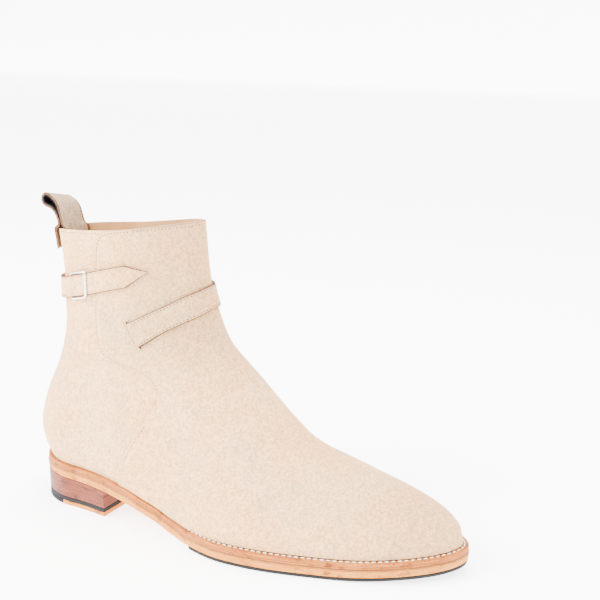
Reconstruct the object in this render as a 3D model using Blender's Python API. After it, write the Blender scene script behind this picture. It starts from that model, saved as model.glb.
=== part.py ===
"""Jodhpur boot for the right foot, built as a shoemaker builds it.

Metres, +Z up.  The toe points along +Y and the outer side of the foot is +X.
The origin is on the floor under the middle of the heel.

The boot is worked out from its last: a short table of levels gives, for each
share of the way from the feather line up to the collar, how far forward and
back the ring reaches and how wide it is at four stations along the foot.
Upper, strap, pull loop, insole and every layer of the sole are read from it.
"""

from collections import namedtuple

import bmesh
import bpy
import numpy as np

MM = 0.001

# Driving sizes of the last and the shaft
LAST_LENGTH = 288.5 * MM
HEEL_WIDTH = 62.0 * MM
WAIST_WIDTH = 58.0 * MM
BALL_WIDTH = 97.0 * MM
COLLAR_WIDTH = 42.0 * MM
COLLAR_BACK_HEIGHT = 178.5 * MM
COLLAR_FRONT_HEIGHT = 191.5 * MM
COLLAR_DIP = 1.5 * MM
TOE_SWING = 5.0 * MM
TOE_SWING_START = 0.35
HEEL_CENTRE = 34.0 * MM

# Leather thicknesses and clearances
GAP = 0.3 * MM
SEAT = 0.35 * MM
WALL = 1.9 * MM
OVERLAY = 1.0 * MM
INSOLE_RISE = 1.2 * MM

# Sole and heel
WELT_THICKNESS = 3.9 * MM
OUTSOLE_THICKNESS = 4.6 * MM
RUBBER_THICKNESS = 2.0 * MM
TOE_SPRING = 5.2 * MM
HEEL_HEIGHT = 20.0 * MM
TOP_PIECE_THICKNESS = 2.7 * MM
HEEL_LIFT_THICKNESS = 2.4 * MM
HEEL_LENGTH = 64.0 * MM
HEEL_TAPER = 0.4 * MM
TOP_PIECE_LEATHER_LENGTH = 36.0 * MM
RUBBER_START = 136.0 * MM
HEEL_EDGE = 3.0 * MM
WAIST_EDGE = 2.6 * MM
FOREFOOT_EDGE = 4.8 * MM
EDGE_SPREAD_START = 0.8
OUTSOLE_BEVEL = 0.6 * MM
WELT_SETBACK = 0.5 * MM

# Strap, buckle, pull loop and the strip down the back seam
STRAP_THICKNESS = 1.6 * MM
STRAP_HOLE = 2.2 * MM
BUCKLE_BAR = 1.5 * MM
BUCKLE_LENGTH = 18.0 * MM
BUCKLE_CORNER = 2.0 * MM
PRONG_DIAMETER = 1.1 * MM
LOOP_WIDTH = 23.0 * MM
LOOP_HEIGHT = 23.0 * MM
LOOP_THICKNESS = 1.4 * MM
TAPE_THICKNESS = 0.7 * MM
LOOP_LEG = 13.0 * MM
STRIP_WIDTH = 3.0 * MM
STRIP_THICKNESS = 0.7 * MM
STRIP_FOOT_HEIGHT = 88.0 * MM

# Fineness of the faceted solids
SIDE_STEPS = 28
LEVEL_STEPS = 29
SAMPLES = 400
BACK_TURN = 0.2
BACK_SAMPLES = 81
STRIP_STEPS = 20
SHARP_DEGREES = 35

# Each row is a level of the last, from the feather line, 0, to the collar, 1
FrontPoint = namedtuple("FrontPoint", "rise reach")
FRONT_LINE = (
    FrontPoint(0.000, 1.000),
    FrontPoint(0.045, 0.993),
    FrontPoint(0.078, 0.973),
    FrontPoint(0.130, 0.912),
    FrontPoint(0.172, 0.838),
    FrontPoint(0.197, 0.783),
    FrontPoint(0.224, 0.724),
    FrontPoint(0.266, 0.669),
    FrontPoint(0.330, 0.620),
    FrontPoint(0.400, 0.571),
    FrontPoint(0.480, 0.518),
    FrontPoint(0.570, 0.464),
    FrontPoint(0.660, 0.438),
    FrontPoint(0.800, 0.414),
    FrontPoint(1.000, 0.402),
)
BackPoint = namedtuple("BackPoint", "rise reach")
BACK_LINE = (
    BackPoint(0.00, 0.012),
    BackPoint(0.06, -0.001),
    BackPoint(0.14, -0.010),
    BackPoint(0.25, -0.001),
    BackPoint(0.38, 0.024),
    BackPoint(0.50, 0.044),
    BackPoint(0.62, 0.053),
    BackPoint(0.80, 0.053),
    BackPoint(1.00, 0.042),
)

# Half widths at four stations, in shares of the heel, waist and ball widths;
# shaft is the share of the way to an upright shaft as wide as the collar
Width = namedtuple(
    "Width",
    "rise heel_lat heel_med waist_lat waist_med ball_lat ball_med toe_lat toe_med shaft",
)
WIDTHS = (
    Width(0.00, 0.96, 0.96, 1.33, 0.78, 1.05, 0.94, 0.94, 0.95, 0.00),
    Width(0.08, 1.05, 1.04, 1.38, 0.96, 1.07, 0.99, 0.94, 0.95, 0.00),
    Width(0.18, 1.06, 1.03, 1.36, 1.12, 0.98, 0.92, 0.87, 0.86, 0.00),
    Width(0.30, 1.00, 0.97, 1.27, 1.17, 0.87, 0.81, 0.78, 0.74, 0.00),
    Width(0.45, 0.90, 0.89, 1.18, 1.14, 0.78, 0.74, 0.78, 0.74, 0.10),
    Width(0.60, 0.86, 0.86, 1.12, 1.10, 0.70, 0.68, 0.70, 0.68, 0.40),
    Width(0.80, 0.86, 0.86, 1.05, 1.05, 0.70, 0.70, 0.70, 0.70, 0.78),
    Width(1.00, 0.86, 0.86, 1.05, 1.05, 0.74, 0.74, 0.74, 0.74, 1.00),
)
OUTER_STATIONS = (0.12, 0.36, 0.56, 0.80)
INNER_STATIONS = (0.12, 0.38, 0.68, 0.84)

# How each level rounds off: lengths of the back and front curves, in shares
# of the last's length, and the power of each curve (2 is an ellipse)
Rounding = namedtuple("Rounding", "rise back front back_power front_power")
ROUNDINGS = (
    Rounding(0.00, 0.115, 0.38, 2.0, 1.80),
    Rounding(0.08, 0.118, 0.40, 2.0, 1.85),
    Rounding(0.18, 0.125, 0.43, 2.0, 1.90),
    Rounding(0.25, 0.135, 0.42, 2.0, 1.95),
    Rounding(0.32, 0.145, 0.37, 2.0, 2.00),
    Rounding(0.45, 0.160, 0.25, 2.0, 2.00),
    Rounding(0.60, 0.170, 0.19, 2.1, 2.00),
    Rounding(0.80, 0.160, 0.175, 2.3, 2.00),
    Rounding(1.00, 0.155, 0.170, 2.5, 2.00),
)

# Underside of the outsole along the last: shares of the heel's height and of
# the toe spring, over the flat of the forefoot
TreadPoint = namedtuple("TreadPoint", "along heel toe")
TREAD_LINE = (
    TreadPoint(-0.05, 1.010, 0.00),
    TreadPoint(0.118, 0.940, 0.00),
    TreadPoint(0.222, 0.850, 0.00),
    TreadPoint(0.291, 0.700, 0.00),
    TreadPoint(0.357, 0.400, 0.00),
    TreadPoint(0.416, 0.100, 0.00),
    TreadPoint(0.460, 0.005, 0.00),
    TreadPoint(0.500, 0.000, 0.00),
    TreadPoint(0.780, 0.000, 0.00),
    TreadPoint(0.840, 0.000, 0.13),
    TreadPoint(0.910, 0.000, 0.42),
    TreadPoint(1.040, 0.000, 1.00),
)

# Rear edge of the front piece: shares of the last's length and of the collar's
# height at the back, from the collar down to the feather line
SeamPoint = namedtuple("SeamPoint", "along height")
FRONT_PIECE_EDGE = (
    SeamPoint(0.288, 1.050),
    SeamPoint(0.270, 1.038),
    SeamPoint(0.228, 1.028),
    SeamPoint(0.203, 1.017),
    SeamPoint(0.188, 0.998),
    SeamPoint(0.182, 0.972),
    SeamPoint(0.179, 0.883),
    SeamPoint(0.180, 0.776),
    SeamPoint(0.184, 0.678),
    SeamPoint(0.200, 0.606),
    SeamPoint(0.226, 0.577),
    SeamPoint(0.266, 0.565),
    SeamPoint(0.305, 0.558),
    SeamPoint(0.338, 0.536),
    SeamPoint(0.352, 0.513),
    SeamPoint(0.355, 0.476),
    SeamPoint(0.338, 0.417),
    SeamPoint(0.312, 0.346),
    SeamPoint(0.287, 0.276),
    SeamPoint(0.273, 0.218),
    SeamPoint(0.268, 0.181),
    SeamPoint(0.262, 0.100),
)
# Half-moon opening behind that edge on the inner side of the ankle
GAP_TOP = SeamPoint(0.262, 0.562)
GAP_MIDDLE = SeamPoint(0.286, 0.480)
GAP_FOOT = SeamPoint(0.333, 0.405)
GAP_CEILING = 0.57
GAP_TUCK = 1.5 * MM

# How far the strap's inner face stands off the last where it passes over the
# front piece, the back strip, the bare back piece, the buckle's bar and prong,
# and where it dips in front of the buckle
OVER_FRONT_PIECE = OVERLAY + SEAT
OVER_STRIP = STRIP_THICKNESS + GAP + SEAT
OVER_BACK_PIECE = STRIP_THICKNESS + GAP
OVER_BAR = BUCKLE_BAR + 2 * GAP
OVER_PRONG = PRONG_DIAMETER + GAP + 1.5 * SEAT
OVER_DIP = 2 * SEAT

# The strap's two edges as turns round the last and shares of the collar's
# height at the back, with its height over the last
StrapRow = namedtuple("StrapRow", "top_turn top bottom_turn bottom lift")
STRAP_PATH = (
    StrapRow(0.272, 0.717, 0.289, 0.641, OVER_FRONT_PIECE),
    StrapRow(0.345, 0.780, 0.352, 0.705, OVER_FRONT_PIECE),
    StrapRow(0.420, 0.828, 0.420, 0.746, OVER_FRONT_PIECE),
    StrapRow(0.500, 0.849, 0.500, 0.771, OVER_FRONT_PIECE),
    StrapRow(0.600, 0.849, 0.600, 0.771, OVER_FRONT_PIECE),
    StrapRow(0.760, 0.843, 0.760, 0.764, OVER_FRONT_PIECE),
    StrapRow(0.900, 0.834, 0.900, 0.756, OVER_BACK_PIECE),
    StrapRow(1.000, 0.830, 1.000, 0.751, OVER_STRIP),
    StrapRow(1.080, 0.834, 1.080, 0.756, OVER_BACK_PIECE),
    StrapRow(1.128, 0.847, 1.128, 0.770, OVER_BAR),
    StrapRow(1.152, 0.857, 1.152, 0.779, OVER_PRONG),
    StrapRow(1.180, 0.868, 1.180, 0.789, OVER_DIP),
    StrapRow(1.196, 0.876, 1.196, 0.797, OVER_FRONT_PIECE),
    StrapRow(1.270, 0.911, 1.270, 0.834, OVER_FRONT_PIECE),
    StrapRow(1.325, 0.936, 1.325, 0.859, OVER_FRONT_PIECE),
)
STRAP_SHOULDER_TURN = 1.276
STRAP_TIP_ACROSS = 0.52
STRAP_TIP_BLUNT = 0.06
STRAP_STEPS = 78
BUCKLE_TURN = 1.128
BUCKLE_TURN_SEARCH = 0.1
HOLE_TURN = 1.152
PRONG_START = 0.45

# Side view of the pull loop's outer face: shares of the loop's height,
# forward from the collar's back edge and up from it
LoopPoint = namedtuple("LoopPoint", "forward up")
LOOP_PROFILE = (
    LoopPoint(-0.03, 0.15),
    LoopPoint(-0.10, 0.40),
    LoopPoint(-0.22, 0.54),
    LoopPoint(-0.44, 0.62),
    LoopPoint(-0.53, 0.74),
    LoopPoint(-0.50, 0.91),
    LoopPoint(-0.34, 1.00),
    LoopPoint(-0.11, 0.88),
    LoopPoint(0.04, 0.68),
    LoopPoint(0.10, 0.42),
    LoopPoint(0.15, 0.15),
)
LOOP_STRAIGHTENING = 0.5
LOOP_DROOP = 0.18

COLLECTION_NAME = "jodhpur_boot"


def smooth_curve(places, values):
    """Return a curve through the values that never overshoots them."""
    xs, ys = np.asarray(places, float), np.asarray(values, float)
    slopes = np.diff(ys) / np.diff(xs)
    tangents = np.zeros_like(ys)
    tangents[0], tangents[-1] = slopes[0], slopes[-1]
    for i in range(1, len(slopes)):
        if slopes[i - 1] * slopes[i] > 0:
            near = 2 * (xs[i + 1] - xs[i]) + (xs[i] - xs[i - 1])
            far = (xs[i + 1] - xs[i]) + 2 * (xs[i] - xs[i - 1])
            tangents[i] = (near + far) / (near / slopes[i - 1] + far / slopes[i])

    def curve(x):
        x = np.clip(np.asarray(x, float), xs[0], xs[-1])
        k = np.clip(np.searchsorted(xs, x, side="right") - 1, 0, len(xs) - 2)
        step = xs[k + 1] - xs[k]
        t = (x - xs[k]) / step
        start = ys[k] * (1 + 2 * t) * (1 - t) ** 2 + step * tangents[k] * t * (1 - t) ** 2
        end = ys[k + 1] * t * t * (3 - 2 * t) + step * tangents[k + 1] * t * t * (t - 1)
        return start + end

    return curve


def table_curves(table):
    """Return a curve for each column of a table, over its first column."""
    names = table[0]._fields
    places = [row[0] for row in table]
    return {name: smooth_curve(places, [getattr(row, name) for row in table])
            for name in names[1:]}


FRONT = table_curves(FRONT_LINE)
BACK = table_curves(BACK_LINE)
WIDTH = table_curves(WIDTHS)
ROUND = table_curves(ROUNDINGS)
TREAD = table_curves(TREAD_LINE)


def ease(t):
    """Return a smooth step from 0 to 1."""
    t = np.clip(t, 0.0, 1.0)
    return t * t * (3 - 2 * t)


def rounded_end(share, power):
    """Return the width left at a share of the way in from a rounded end."""
    share = np.clip(share, 0.0, 1.0)
    return np.maximum(1 - (1 - share) ** power, 0.0) ** (1 / power)


# Heights of the sole's layers, by the distance along the last

def tread_height(s):
    """Return the underside of the outsole."""
    along = np.asarray(s) / LAST_LENGTH
    flat = RUBBER_THICKNESS + GAP
    return flat + (HEEL_HEIGHT - flat) * TREAD["heel"](along) + TOE_SPRING * TREAD["toe"](along)


def outsole_top(s):
    """Return the upper face of the outsole."""
    return tread_height(s) + OUTSOLE_THICKNESS


def feather_height(s):
    """Return the height where the upper meets the welt."""
    return outsole_top(s) + GAP + WELT_THICKNESS + GAP


def collar_height(s):
    """Return the height of the collar's edge."""
    back, front = BACK["reach"](1.0) * LAST_LENGTH, FRONT["reach"](1.0) * LAST_LENGTH
    share = (s - back) / (front - back)
    dip = COLLAR_DIP * np.sin(np.pi * np.clip(share, 0.0, 1.0)) ** 2
    return COLLAR_BACK_HEIGHT + (COLLAR_FRONT_HEIGHT - COLLAR_BACK_HEIGHT) * share - dip


def centre_line(s):
    """Return the sideways place of the last's centre line, swung in at the toe."""
    return -TOE_SWING * ease((s / LAST_LENGTH - TOE_SWING_START) / (1 - TOE_SWING_START))


def side_at(s, rise, side):
    """Return x of the last's side: side is 1 outside and -1 inside."""
    word = "lat" if side > 0 else "med"
    shares = OUTER_STATIONS if side > 0 else INNER_STATIONS
    stations = [share * LAST_LENGTH for share in shares]
    widths = [WIDTH["heel_" + word](rise) * HEEL_WIDTH / 2,
              WIDTH["waist_" + word](rise) * WAIST_WIDTH / 2,
              WIDTH["ball_" + word](rise) * BALL_WIDTH / 2,
              WIDTH["toe_" + word](rise) * BALL_WIDTH / 2]
    half = widths[0] + 0 * s
    for i in range(len(stations) - 1):
        share = ease((s - stations[i]) / (stations[i + 1] - stations[i]))
        half = half + (widths[i + 1] - widths[i]) * share
    shaft = WIDTH["shaft"](rise)
    half = half * (1 - shaft) + COLLAR_WIDTH / 2 * shaft
    back, front = BACK["reach"](rise) * LAST_LENGTH, FRONT["reach"](rise) * LAST_LENGTH
    closing = rounded_end((s - back) / (ROUND["back"](rise) * LAST_LENGTH),
                          ROUND["back_power"](rise))
    closing = closing * rounded_end((front - s) / (ROUND["front"](rise) * LAST_LENGTH),
                                    ROUND["front_power"](rise))
    centre = centre_line(s)
    return centre + (side * half - centre) * closing


def turn_place(turn):
    """Return the share along and the side of a turn round the last.

    A turn of 0 is the back, 0.5 the front, and the outer side comes first.
    """
    turn = np.mod(turn, 1.0)
    share = (1 - np.cos(2 * np.pi * turn)) / 2
    return share, np.where(turn <= 0.5, 1, -1)


def last_point(turn, rise):
    """Return the point of the last at a turn and a rise."""
    turn, rise = np.broadcast_arrays(np.asarray(turn, float), np.asarray(rise, float))
    share, side = turn_place(turn)
    back, front = BACK["reach"](rise) * LAST_LENGTH, FRONT["reach"](rise) * LAST_LENGTH
    s = back + (front - back) * share
    x = np.where(side > 0, side_at(s, rise, 1), side_at(s, rise, -1))
    z = feather_height(s) * (1 - rise) + collar_height(s) * rise
    return np.stack([x, s - HEEL_CENTRE, z], -1)


def last_normal(turn, rise):
    """Return the outward direction of the last at a turn and a rise."""
    step_turn, step_rise = 0.25 / SIDE_STEPS, 0.25 / LEVEL_STEPS
    turn, rise = np.broadcast_arrays(np.asarray(turn, float), np.asarray(rise, float))
    across = last_point(turn + step_turn, rise) - last_point(turn - step_turn, rise)
    low, high = np.clip(rise - step_rise, 0, 1), np.clip(rise + step_rise, 0, 1)
    upward = last_point(turn, high) - last_point(turn, low)
    normal = np.cross(across, upward)
    edge = (rise <= 0) | (rise >= 1)
    normal[..., 2] = np.where(edge, 0.0, normal[..., 2])
    return normal / np.linalg.norm(normal, axis=-1, keepdims=True)


def offset_point(turn, rise, out):
    """Return a point at a distance out from the last."""
    return last_point(turn, rise) + last_normal(turn, rise) * out


def level_rises(low, high, count):
    """Return rises spaced evenly along the boot's front and back lines."""
    rises = np.linspace(0, 1, SAMPLES)
    ends = [last_point(0.5, rises), last_point(0.0, rises)]
    travel = sum(np.concatenate([[0], np.cumsum(np.linalg.norm(np.diff(e, axis=0), axis=1))])
                 for e in ends)
    start, stop = np.interp([low, high], rises, travel)
    return np.interp(np.linspace(start, stop, count), travel, rises)


def material(name, colour, roughness, metallic=0.0):
    """Return a Principled material."""
    finish = bpy.data.materials.new(name)
    finish.use_nodes = True
    shader = finish.node_tree.nodes["Principled BSDF"]
    shader.inputs["Base Color"].default_value = (*colour, 1.0)
    shader.inputs["Roughness"].default_value = roughness
    shader.inputs["Metallic"].default_value = metallic
    finish.diffuse_color = (*colour, 1.0)
    return finish


def clear_scene():
    """Remove what the file opened with."""
    for thing in list(bpy.data.objects):
        bpy.data.objects.remove(thing)
    for group in list(bpy.data.collections):
        bpy.data.collections.remove(group)


def collection(name):
    """Return a new collection in the scene."""
    group = bpy.data.collections.new(name)
    bpy.context.scene.collection.children.link(group)
    return group


def mesh_object(name, points, faces, group, finish=None):
    """Return an object made of points and faces, its faces turned outwards."""
    mesh = bpy.data.meshes.new(name)
    mesh.from_pydata([tuple(p) for p in points], [], faces)
    solid = bmesh.new()
    solid.from_mesh(mesh)
    bmesh.ops.recalc_face_normals(solid, faces=solid.faces)
    solid.to_mesh(mesh)
    solid.free()
    thing = bpy.data.objects.new(name, mesh)
    group.objects.link(thing)
    if finish:
        dress(thing, finish)
    return thing


def dress(thing, finish):
    """Give a finished solid its material and shading."""
    thing.data.materials.clear()
    thing.data.materials.append(finish)
    thing.data.shade_smooth()
    thing.data.set_sharp_from_angle(angle=np.radians(SHARP_DEGREES))


def loft(sections, closed_path=False, paired=False):
    """Return points and faces of a solid lofted through closed sections.

    paired closes the ends with quads between a section's two halves, which
    mirror each other.
    """
    sections = np.asarray(sections)
    count, size = sections.shape[:2]
    points = sections.reshape(-1, 3)
    faces = []
    for i in range(count if closed_path else count - 1):
        near, far = i * size, (i + 1) % count * size
        for j in range(size):
            k = (j + 1) % size
            faces.append((near + j, near + k, far + k, far + j))
    if not closed_path:
        for first in (0, (count - 1) * size):
            if paired:
                faces += [(first + j, first + j + 1, first + size - 2 - j, first + size - 1 - j)
                          for j in range(size // 2 - 1)]
            else:
                faces.append(tuple(range(first, first + size)))
    return points, faces


def triangulate(thing):
    """Split an object's faces, which bend, into plane ones."""
    solid = bmesh.new()
    solid.from_mesh(thing.data)
    bmesh.ops.triangulate(solid, faces=solid.faces, quad_method="SHORT_EDGE")
    solid.to_mesh(thing.data)
    solid.free()


def boolean(thing, cutter, operation):
    """Apply a Boolean of a cutter to an object, its faces made plane first."""
    triangulate(thing)
    triangulate(cutter)
    step = thing.modifiers.new(operation.lower(), "BOOLEAN")
    step.operation = operation
    step.object = cutter
    step.solver = "EXACT"
    bpy.context.view_layer.update()
    shape = bpy.data.meshes.new_from_object(thing.evaluated_get(
        bpy.context.evaluated_depsgraph_get()))
    thing.modifiers.clear()
    old = thing.data
    thing.data = shape
    bpy.data.meshes.remove(old)


def ring_solid(name, section_at, turns, group, finish):
    """Return a solid swept right round the last, one section for each turn."""
    sections = [section_at(turn) for turn in turns]
    points, faces = loft(sections, closed_path=True)
    return mesh_object(name, points, faces, group, finish)


def shell(name, inside, outside, rises, group, finish=None):
    """Return a hollow wall between two distances from the last."""
    def section(turn):
        outer = offset_point(turn, rises, outside)
        inner = offset_point(turn, rises[::-1], inside)
        return np.concatenate([outer, inner])

    turns = np.arange(2 * SIDE_STEPS) / (2 * SIDE_STEPS)
    return ring_solid(name, section, turns, group, finish)


def prism(name, outline, low_x, high_x, group):
    """Return a cutter: an outline of (y, z) points carried sideways."""
    sections = [[(x, y, z) for y, z in outline] for x in (low_x, high_x)]
    cutter = mesh_object(name, *loft(sections), group)
    cutter.hide_render = True
    cutter.display_type = "WIRE"
    return cutter


def spline(points, steps):
    """Return a smooth curve through the points, steps to a stretch."""
    points = np.asarray(points, float)
    padded = np.concatenate([[2 * points[0] - points[1]], points,
                             [2 * points[-1] - points[-2]]])
    curve = []
    for i in range(1, len(padded) - 2):
        before, start, end, after = padded[i - 1:i + 3]
        for t in np.arange(steps) / steps:
            curve.append(0.5 * (2 * start + (end - before) * t
                                + (2 * before - 5 * start + 4 * end - after) * t ** 2
                                + (3 * start - before - 3 * end + after) * t ** 3))
    return np.array(curve + [points[-1]])


def seam_place(point):
    """Return (y, z) of a seam point."""
    return point.along * LAST_LENGTH - HEEL_CENTRE, point.height * COLLAR_BACK_HEIGHT


def front_piece_edge():
    """Return the rear edge of the front piece as (y, z) points."""
    return spline([seam_place(point) for point in FRONT_PIECE_EDGE], 3)


def build_upper(boot, cutters, finish):
    """Return the upper: one wall, with the front piece a step in it."""
    rises = level_rises(0.0, 1.0, LEVEL_STEPS)
    upper = shell("upper", -WALL, 0.0, rises, boot)
    edge = front_piece_edge()
    gap = [point for point in edge
           if GAP_FOOT.height * COLLAR_BACK_HEIGHT < point[1] < GAP_CEILING * COLLAR_BACK_HEIGHT
           and point[0] > seam_place(GAP_TOP)[0]]
    gap = [(y + GAP_TUCK, z) for y, z in gap]
    gap += [seam_place(GAP_FOOT), seam_place(GAP_MIDDLE), seam_place(GAP_TOP)]
    half_moon = prism("half_moon_cutter", gap, -BALL_WIDTH, 0.0, cutters)
    boolean(upper, half_moon, "DIFFERENCE")
    top, toe = 2 * COLLAR_FRONT_HEIGHT, 2 * LAST_LENGTH
    outline = [(edge[0][0], top), *edge, (edge[-1][0], -top), (toe, -top), (toe, top)]
    bounds = prism("front_piece_cutter", outline, -BALL_WIDTH, BALL_WIDTH, cutters)
    front = shell("front_piece_form", -WALL / 2, OVERLAY,
                  level_rises(0.003, 0.996, LEVEL_STEPS), cutters)
    boolean(front, bounds, "INTERSECT")
    boolean(upper, front, "UNION")
    front.hide_render = True
    front.display_type = "WIRE"
    dress(upper, finish)
    return upper


def feather_line(turn, out):
    """Return the plan of the feather line moved out by a distance."""
    point, normal = last_point(turn, 0.0), last_normal(turn, 0.0)
    return point[..., :2] + normal[..., :2] * np.asarray(out)[..., None]


def sole_line(turn, extra):
    """Return the plan of the sole's edge, moved out by an extra distance."""
    s = last_point(turn, 0.0)[..., 1] + HEEL_CENTRE
    edge = HEEL_EDGE + (WAIST_EDGE - HEEL_EDGE) * ease((s - HEEL_LENGTH) / HEEL_CENTRE)
    edge = edge + (FOREFOOT_EDGE - WAIST_EDGE) * ease((s - EDGE_SPREAD_START * RUBBER_START)
                                                    / HEEL_LENGTH)
    return feather_line(turn, edge + extra)


def cut_square(line, start, stop):
    """Return an outline from heel to toe, cut square across at both ends."""
    x, y = line.T
    if start is not None:
        ahead = y > start + GAP
        x = np.concatenate([[np.interp(start, y, x)], x[ahead]])
        y = np.concatenate([[start], y[ahead]])
    if stop is not None:
        behind = y < stop - GAP
        x = np.concatenate([x[behind], [np.interp(stop, y, x)]])
        y = np.concatenate([y[behind], [stop]])
    return x, y


def sole_layer(name, edges, heights, group, finish, start=None, stop=None):
    """Return a layer of the sole.

    edges are the plans of its lower and upper edges as functions of the turn,
    heights its lower and upper heights as functions of the place along the
    last, and start and stop cut it square across.
    """
    turns = np.arange(SIDE_STEPS + 1) / (2 * SIDE_STEPS)
    stations = last_point(turns, 0.0)[:, 1]
    if start is not None:
        stations = np.concatenate([[start], stations[stations > start + GAP]])
    if stop is not None:
        stations = np.concatenate([stations[stations < stop - GAP], [stop]])
    share = (stations - stations[0]) / (stations[-1] - stations[0])
    corners = []
    for edge, height in zip(edges, heights):
        level = []
        for side in (-1, 1):
            x, y = cut_square(edge(side * turns), start, stop)
            places = (y - y[0]) / (y[-1] - y[0])
            place_y = y[0] + (y[-1] - y[0]) * share
            place_x = np.interp(share, places, x)
            level.append(np.column_stack(
                [place_x, place_y, height(place_y + HEEL_CENTRE) * np.ones(len(share))]))
        corners.append(level)
    (low_in, low_out), (high_in, high_out) = corners
    sections = np.stack([low_in, low_out, high_out, high_in], 1)
    thing = mesh_object(name, *loft(sections), group)
    weld(thing)
    dress(thing, finish)
    return thing


def weld(thing):
    """Merge a solid's doubled points, as at the tips of a layer."""
    solid = bmesh.new()
    solid.from_mesh(thing.data)
    bmesh.ops.remove_doubles(solid, verts=solid.verts, dist=GAP / 100)
    bmesh.ops.recalc_face_normals(solid, faces=solid.faces)
    solid.to_mesh(thing.data)
    solid.free()


def level(height):
    """Return a height that is the same all along the last."""
    return lambda s: height + 0 * s


def build_sole(boot, looks):
    """Build insole, welt, outsole, forefoot rubber and the heel's layers."""
    def edge(extra):
        return lambda turn: sole_line(turn, extra)

    def inside(turn):
        return feather_line(turn, -WALL - 2 * GAP)

    breast = HEEL_LENGTH - HEEL_CENTRE
    sole_layer("insole", (inside, inside),
               (lambda s: outsole_top(s) + GAP, lambda s: feather_height(s) + INSOLE_RISE),
               boot, looks["lining"])

    def welt_section(turn):
        inner, outer = feather_line(turn, -WALL - GAP), sole_line(turn, -WELT_SETBACK)
        low = [outsole_top(y + HEEL_CENTRE) + GAP for _, y in (inner, outer)]
        return [(*inner, low[0]), (*outer, low[1]),
                (*outer, low[1] + WELT_THICKNESS), (*inner, low[0] + WELT_THICKNESS)]

    turns = np.arange(2 * SIDE_STEPS) / (2 * SIDE_STEPS)
    ring_solid("welt", welt_section, turns, boot, looks["welt"])
    sole_layer("outsole", (edge(-OUTSOLE_BEVEL), edge(0.0)), (tread_height, outsole_top),
               boot, looks["sole"])
    sole_layer("forefoot_rubber", (edge(-2 * OUTSOLE_BEVEL), edge(-OUTSOLE_BEVEL)),
               (lambda s: tread_height(s) - GAP - RUBBER_THICKNESS,
                lambda s: tread_height(s) - GAP),
               boot, looks["rubber"], start=RUBBER_START - HEEL_CENTRE)
    lift_low = TOP_PIECE_THICKNESS + GAP
    stack_low = lift_low + HEEL_LIFT_THICKNESS + GAP
    taper = -OUTSOLE_BEVEL - HEEL_TAPER
    sole_layer("heel_stack", (edge(taper), edge(-OUTSOLE_BEVEL)),
               (level(stack_low), lambda s: tread_height(s) - GAP),
               boot, looks["stack"], stop=breast)
    sole_layer("heel_lift_rubber", (edge(taper), edge(taper)),
               (level(lift_low), level(lift_low + HEEL_LIFT_THICKNESS)),
               boot, looks["rubber"], stop=breast)
    joint = TOP_PIECE_LEATHER_LENGTH
    sole_layer("top_piece_rubber", (edge(taper), edge(taper)),
               (level(0.0), level(TOP_PIECE_THICKNESS)),
               boot, looks["rubber"], stop=breast - joint - GAP / 2)
    sole_layer("top_piece_leather", (edge(taper), edge(taper)),
               (level(0.0), level(TOP_PIECE_THICKNESS)),
               boot, looks["sole"], start=breast - joint + GAP / 2, stop=breast)


def rise_at(turn, height):
    """Return the rise at which the last reaches a height."""
    rises = np.linspace(0, 1, SAMPLES)
    return np.interp(height, last_point(turn, rises)[:, 2], rises)


STRAP = table_curves([StrapRow(row.top_turn, *row[1:]) for row in STRAP_PATH])


def strap_point(turn, across, out):
    """Return a point of the strap.

    turn follows its upper edge, across is 0 at its lower edge and 1 at its
    upper edge, and out is a distance over its inner face.
    """
    bottom_turn = STRAP["bottom_turn"](turn)
    end = STRAP_PATH[-1].top_turn
    narrowing = max((end - turn) / (end - STRAP_SHOULDER_TURN), STRAP_TIP_BLUNT)
    if narrowing < 1:
        across = STRAP_TIP_ACROSS + (across - STRAP_TIP_ACROSS) * narrowing
    place = bottom_turn + (turn - bottom_turn) * across
    low, high = STRAP["bottom"](turn), STRAP["top"](turn)
    height = (low + (high - low) * across) * COLLAR_BACK_HEIGHT
    rise = rise_at(np.mod(place, 1.0), height)
    return offset_point(place, rise, STRAP["lift"](turn) + out)


def build_strap(boot, cutters, finish):
    """Return the strap: it leaves its slot, rounds the ankle and is buckled."""
    first, last = STRAP_PATH[0].top_turn, STRAP_PATH[-1].top_turn
    turns = np.linspace(first, last, STRAP_STEPS)
    sections = [[strap_point(turn, 0.0, 0.0), strap_point(turn, 0.5, 0.0),
                 strap_point(turn, 1.0, 0.0),
                 strap_point(turn, 1.0, STRAP_THICKNESS),
                 strap_point(turn, 0.5, STRAP_THICKNESS),
                 strap_point(turn, 0.0, STRAP_THICKNESS)] for turn in turns]
    strap = mesh_object("strap", *loft(sections, paired=True), boot)
    middle = strap_point(HOLE_TURN, 0.5, 0.0)
    outward = strap_point(HOLE_TURN, 0.5, STRAP_THICKNESS) - middle
    outward /= np.linalg.norm(outward)
    hole = rod("strap_hole_cutter", [middle - outward * 2 * STRAP_THICKNESS,
                                     middle + outward * 3 * STRAP_THICKNESS],
               STRAP_HOLE / 2, cutters, 12)
    hole.hide_render = True
    hole.display_type = "WIRE"
    boolean(strap, hole, "DIFFERENCE")
    dress(strap, finish)
    return strap


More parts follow.
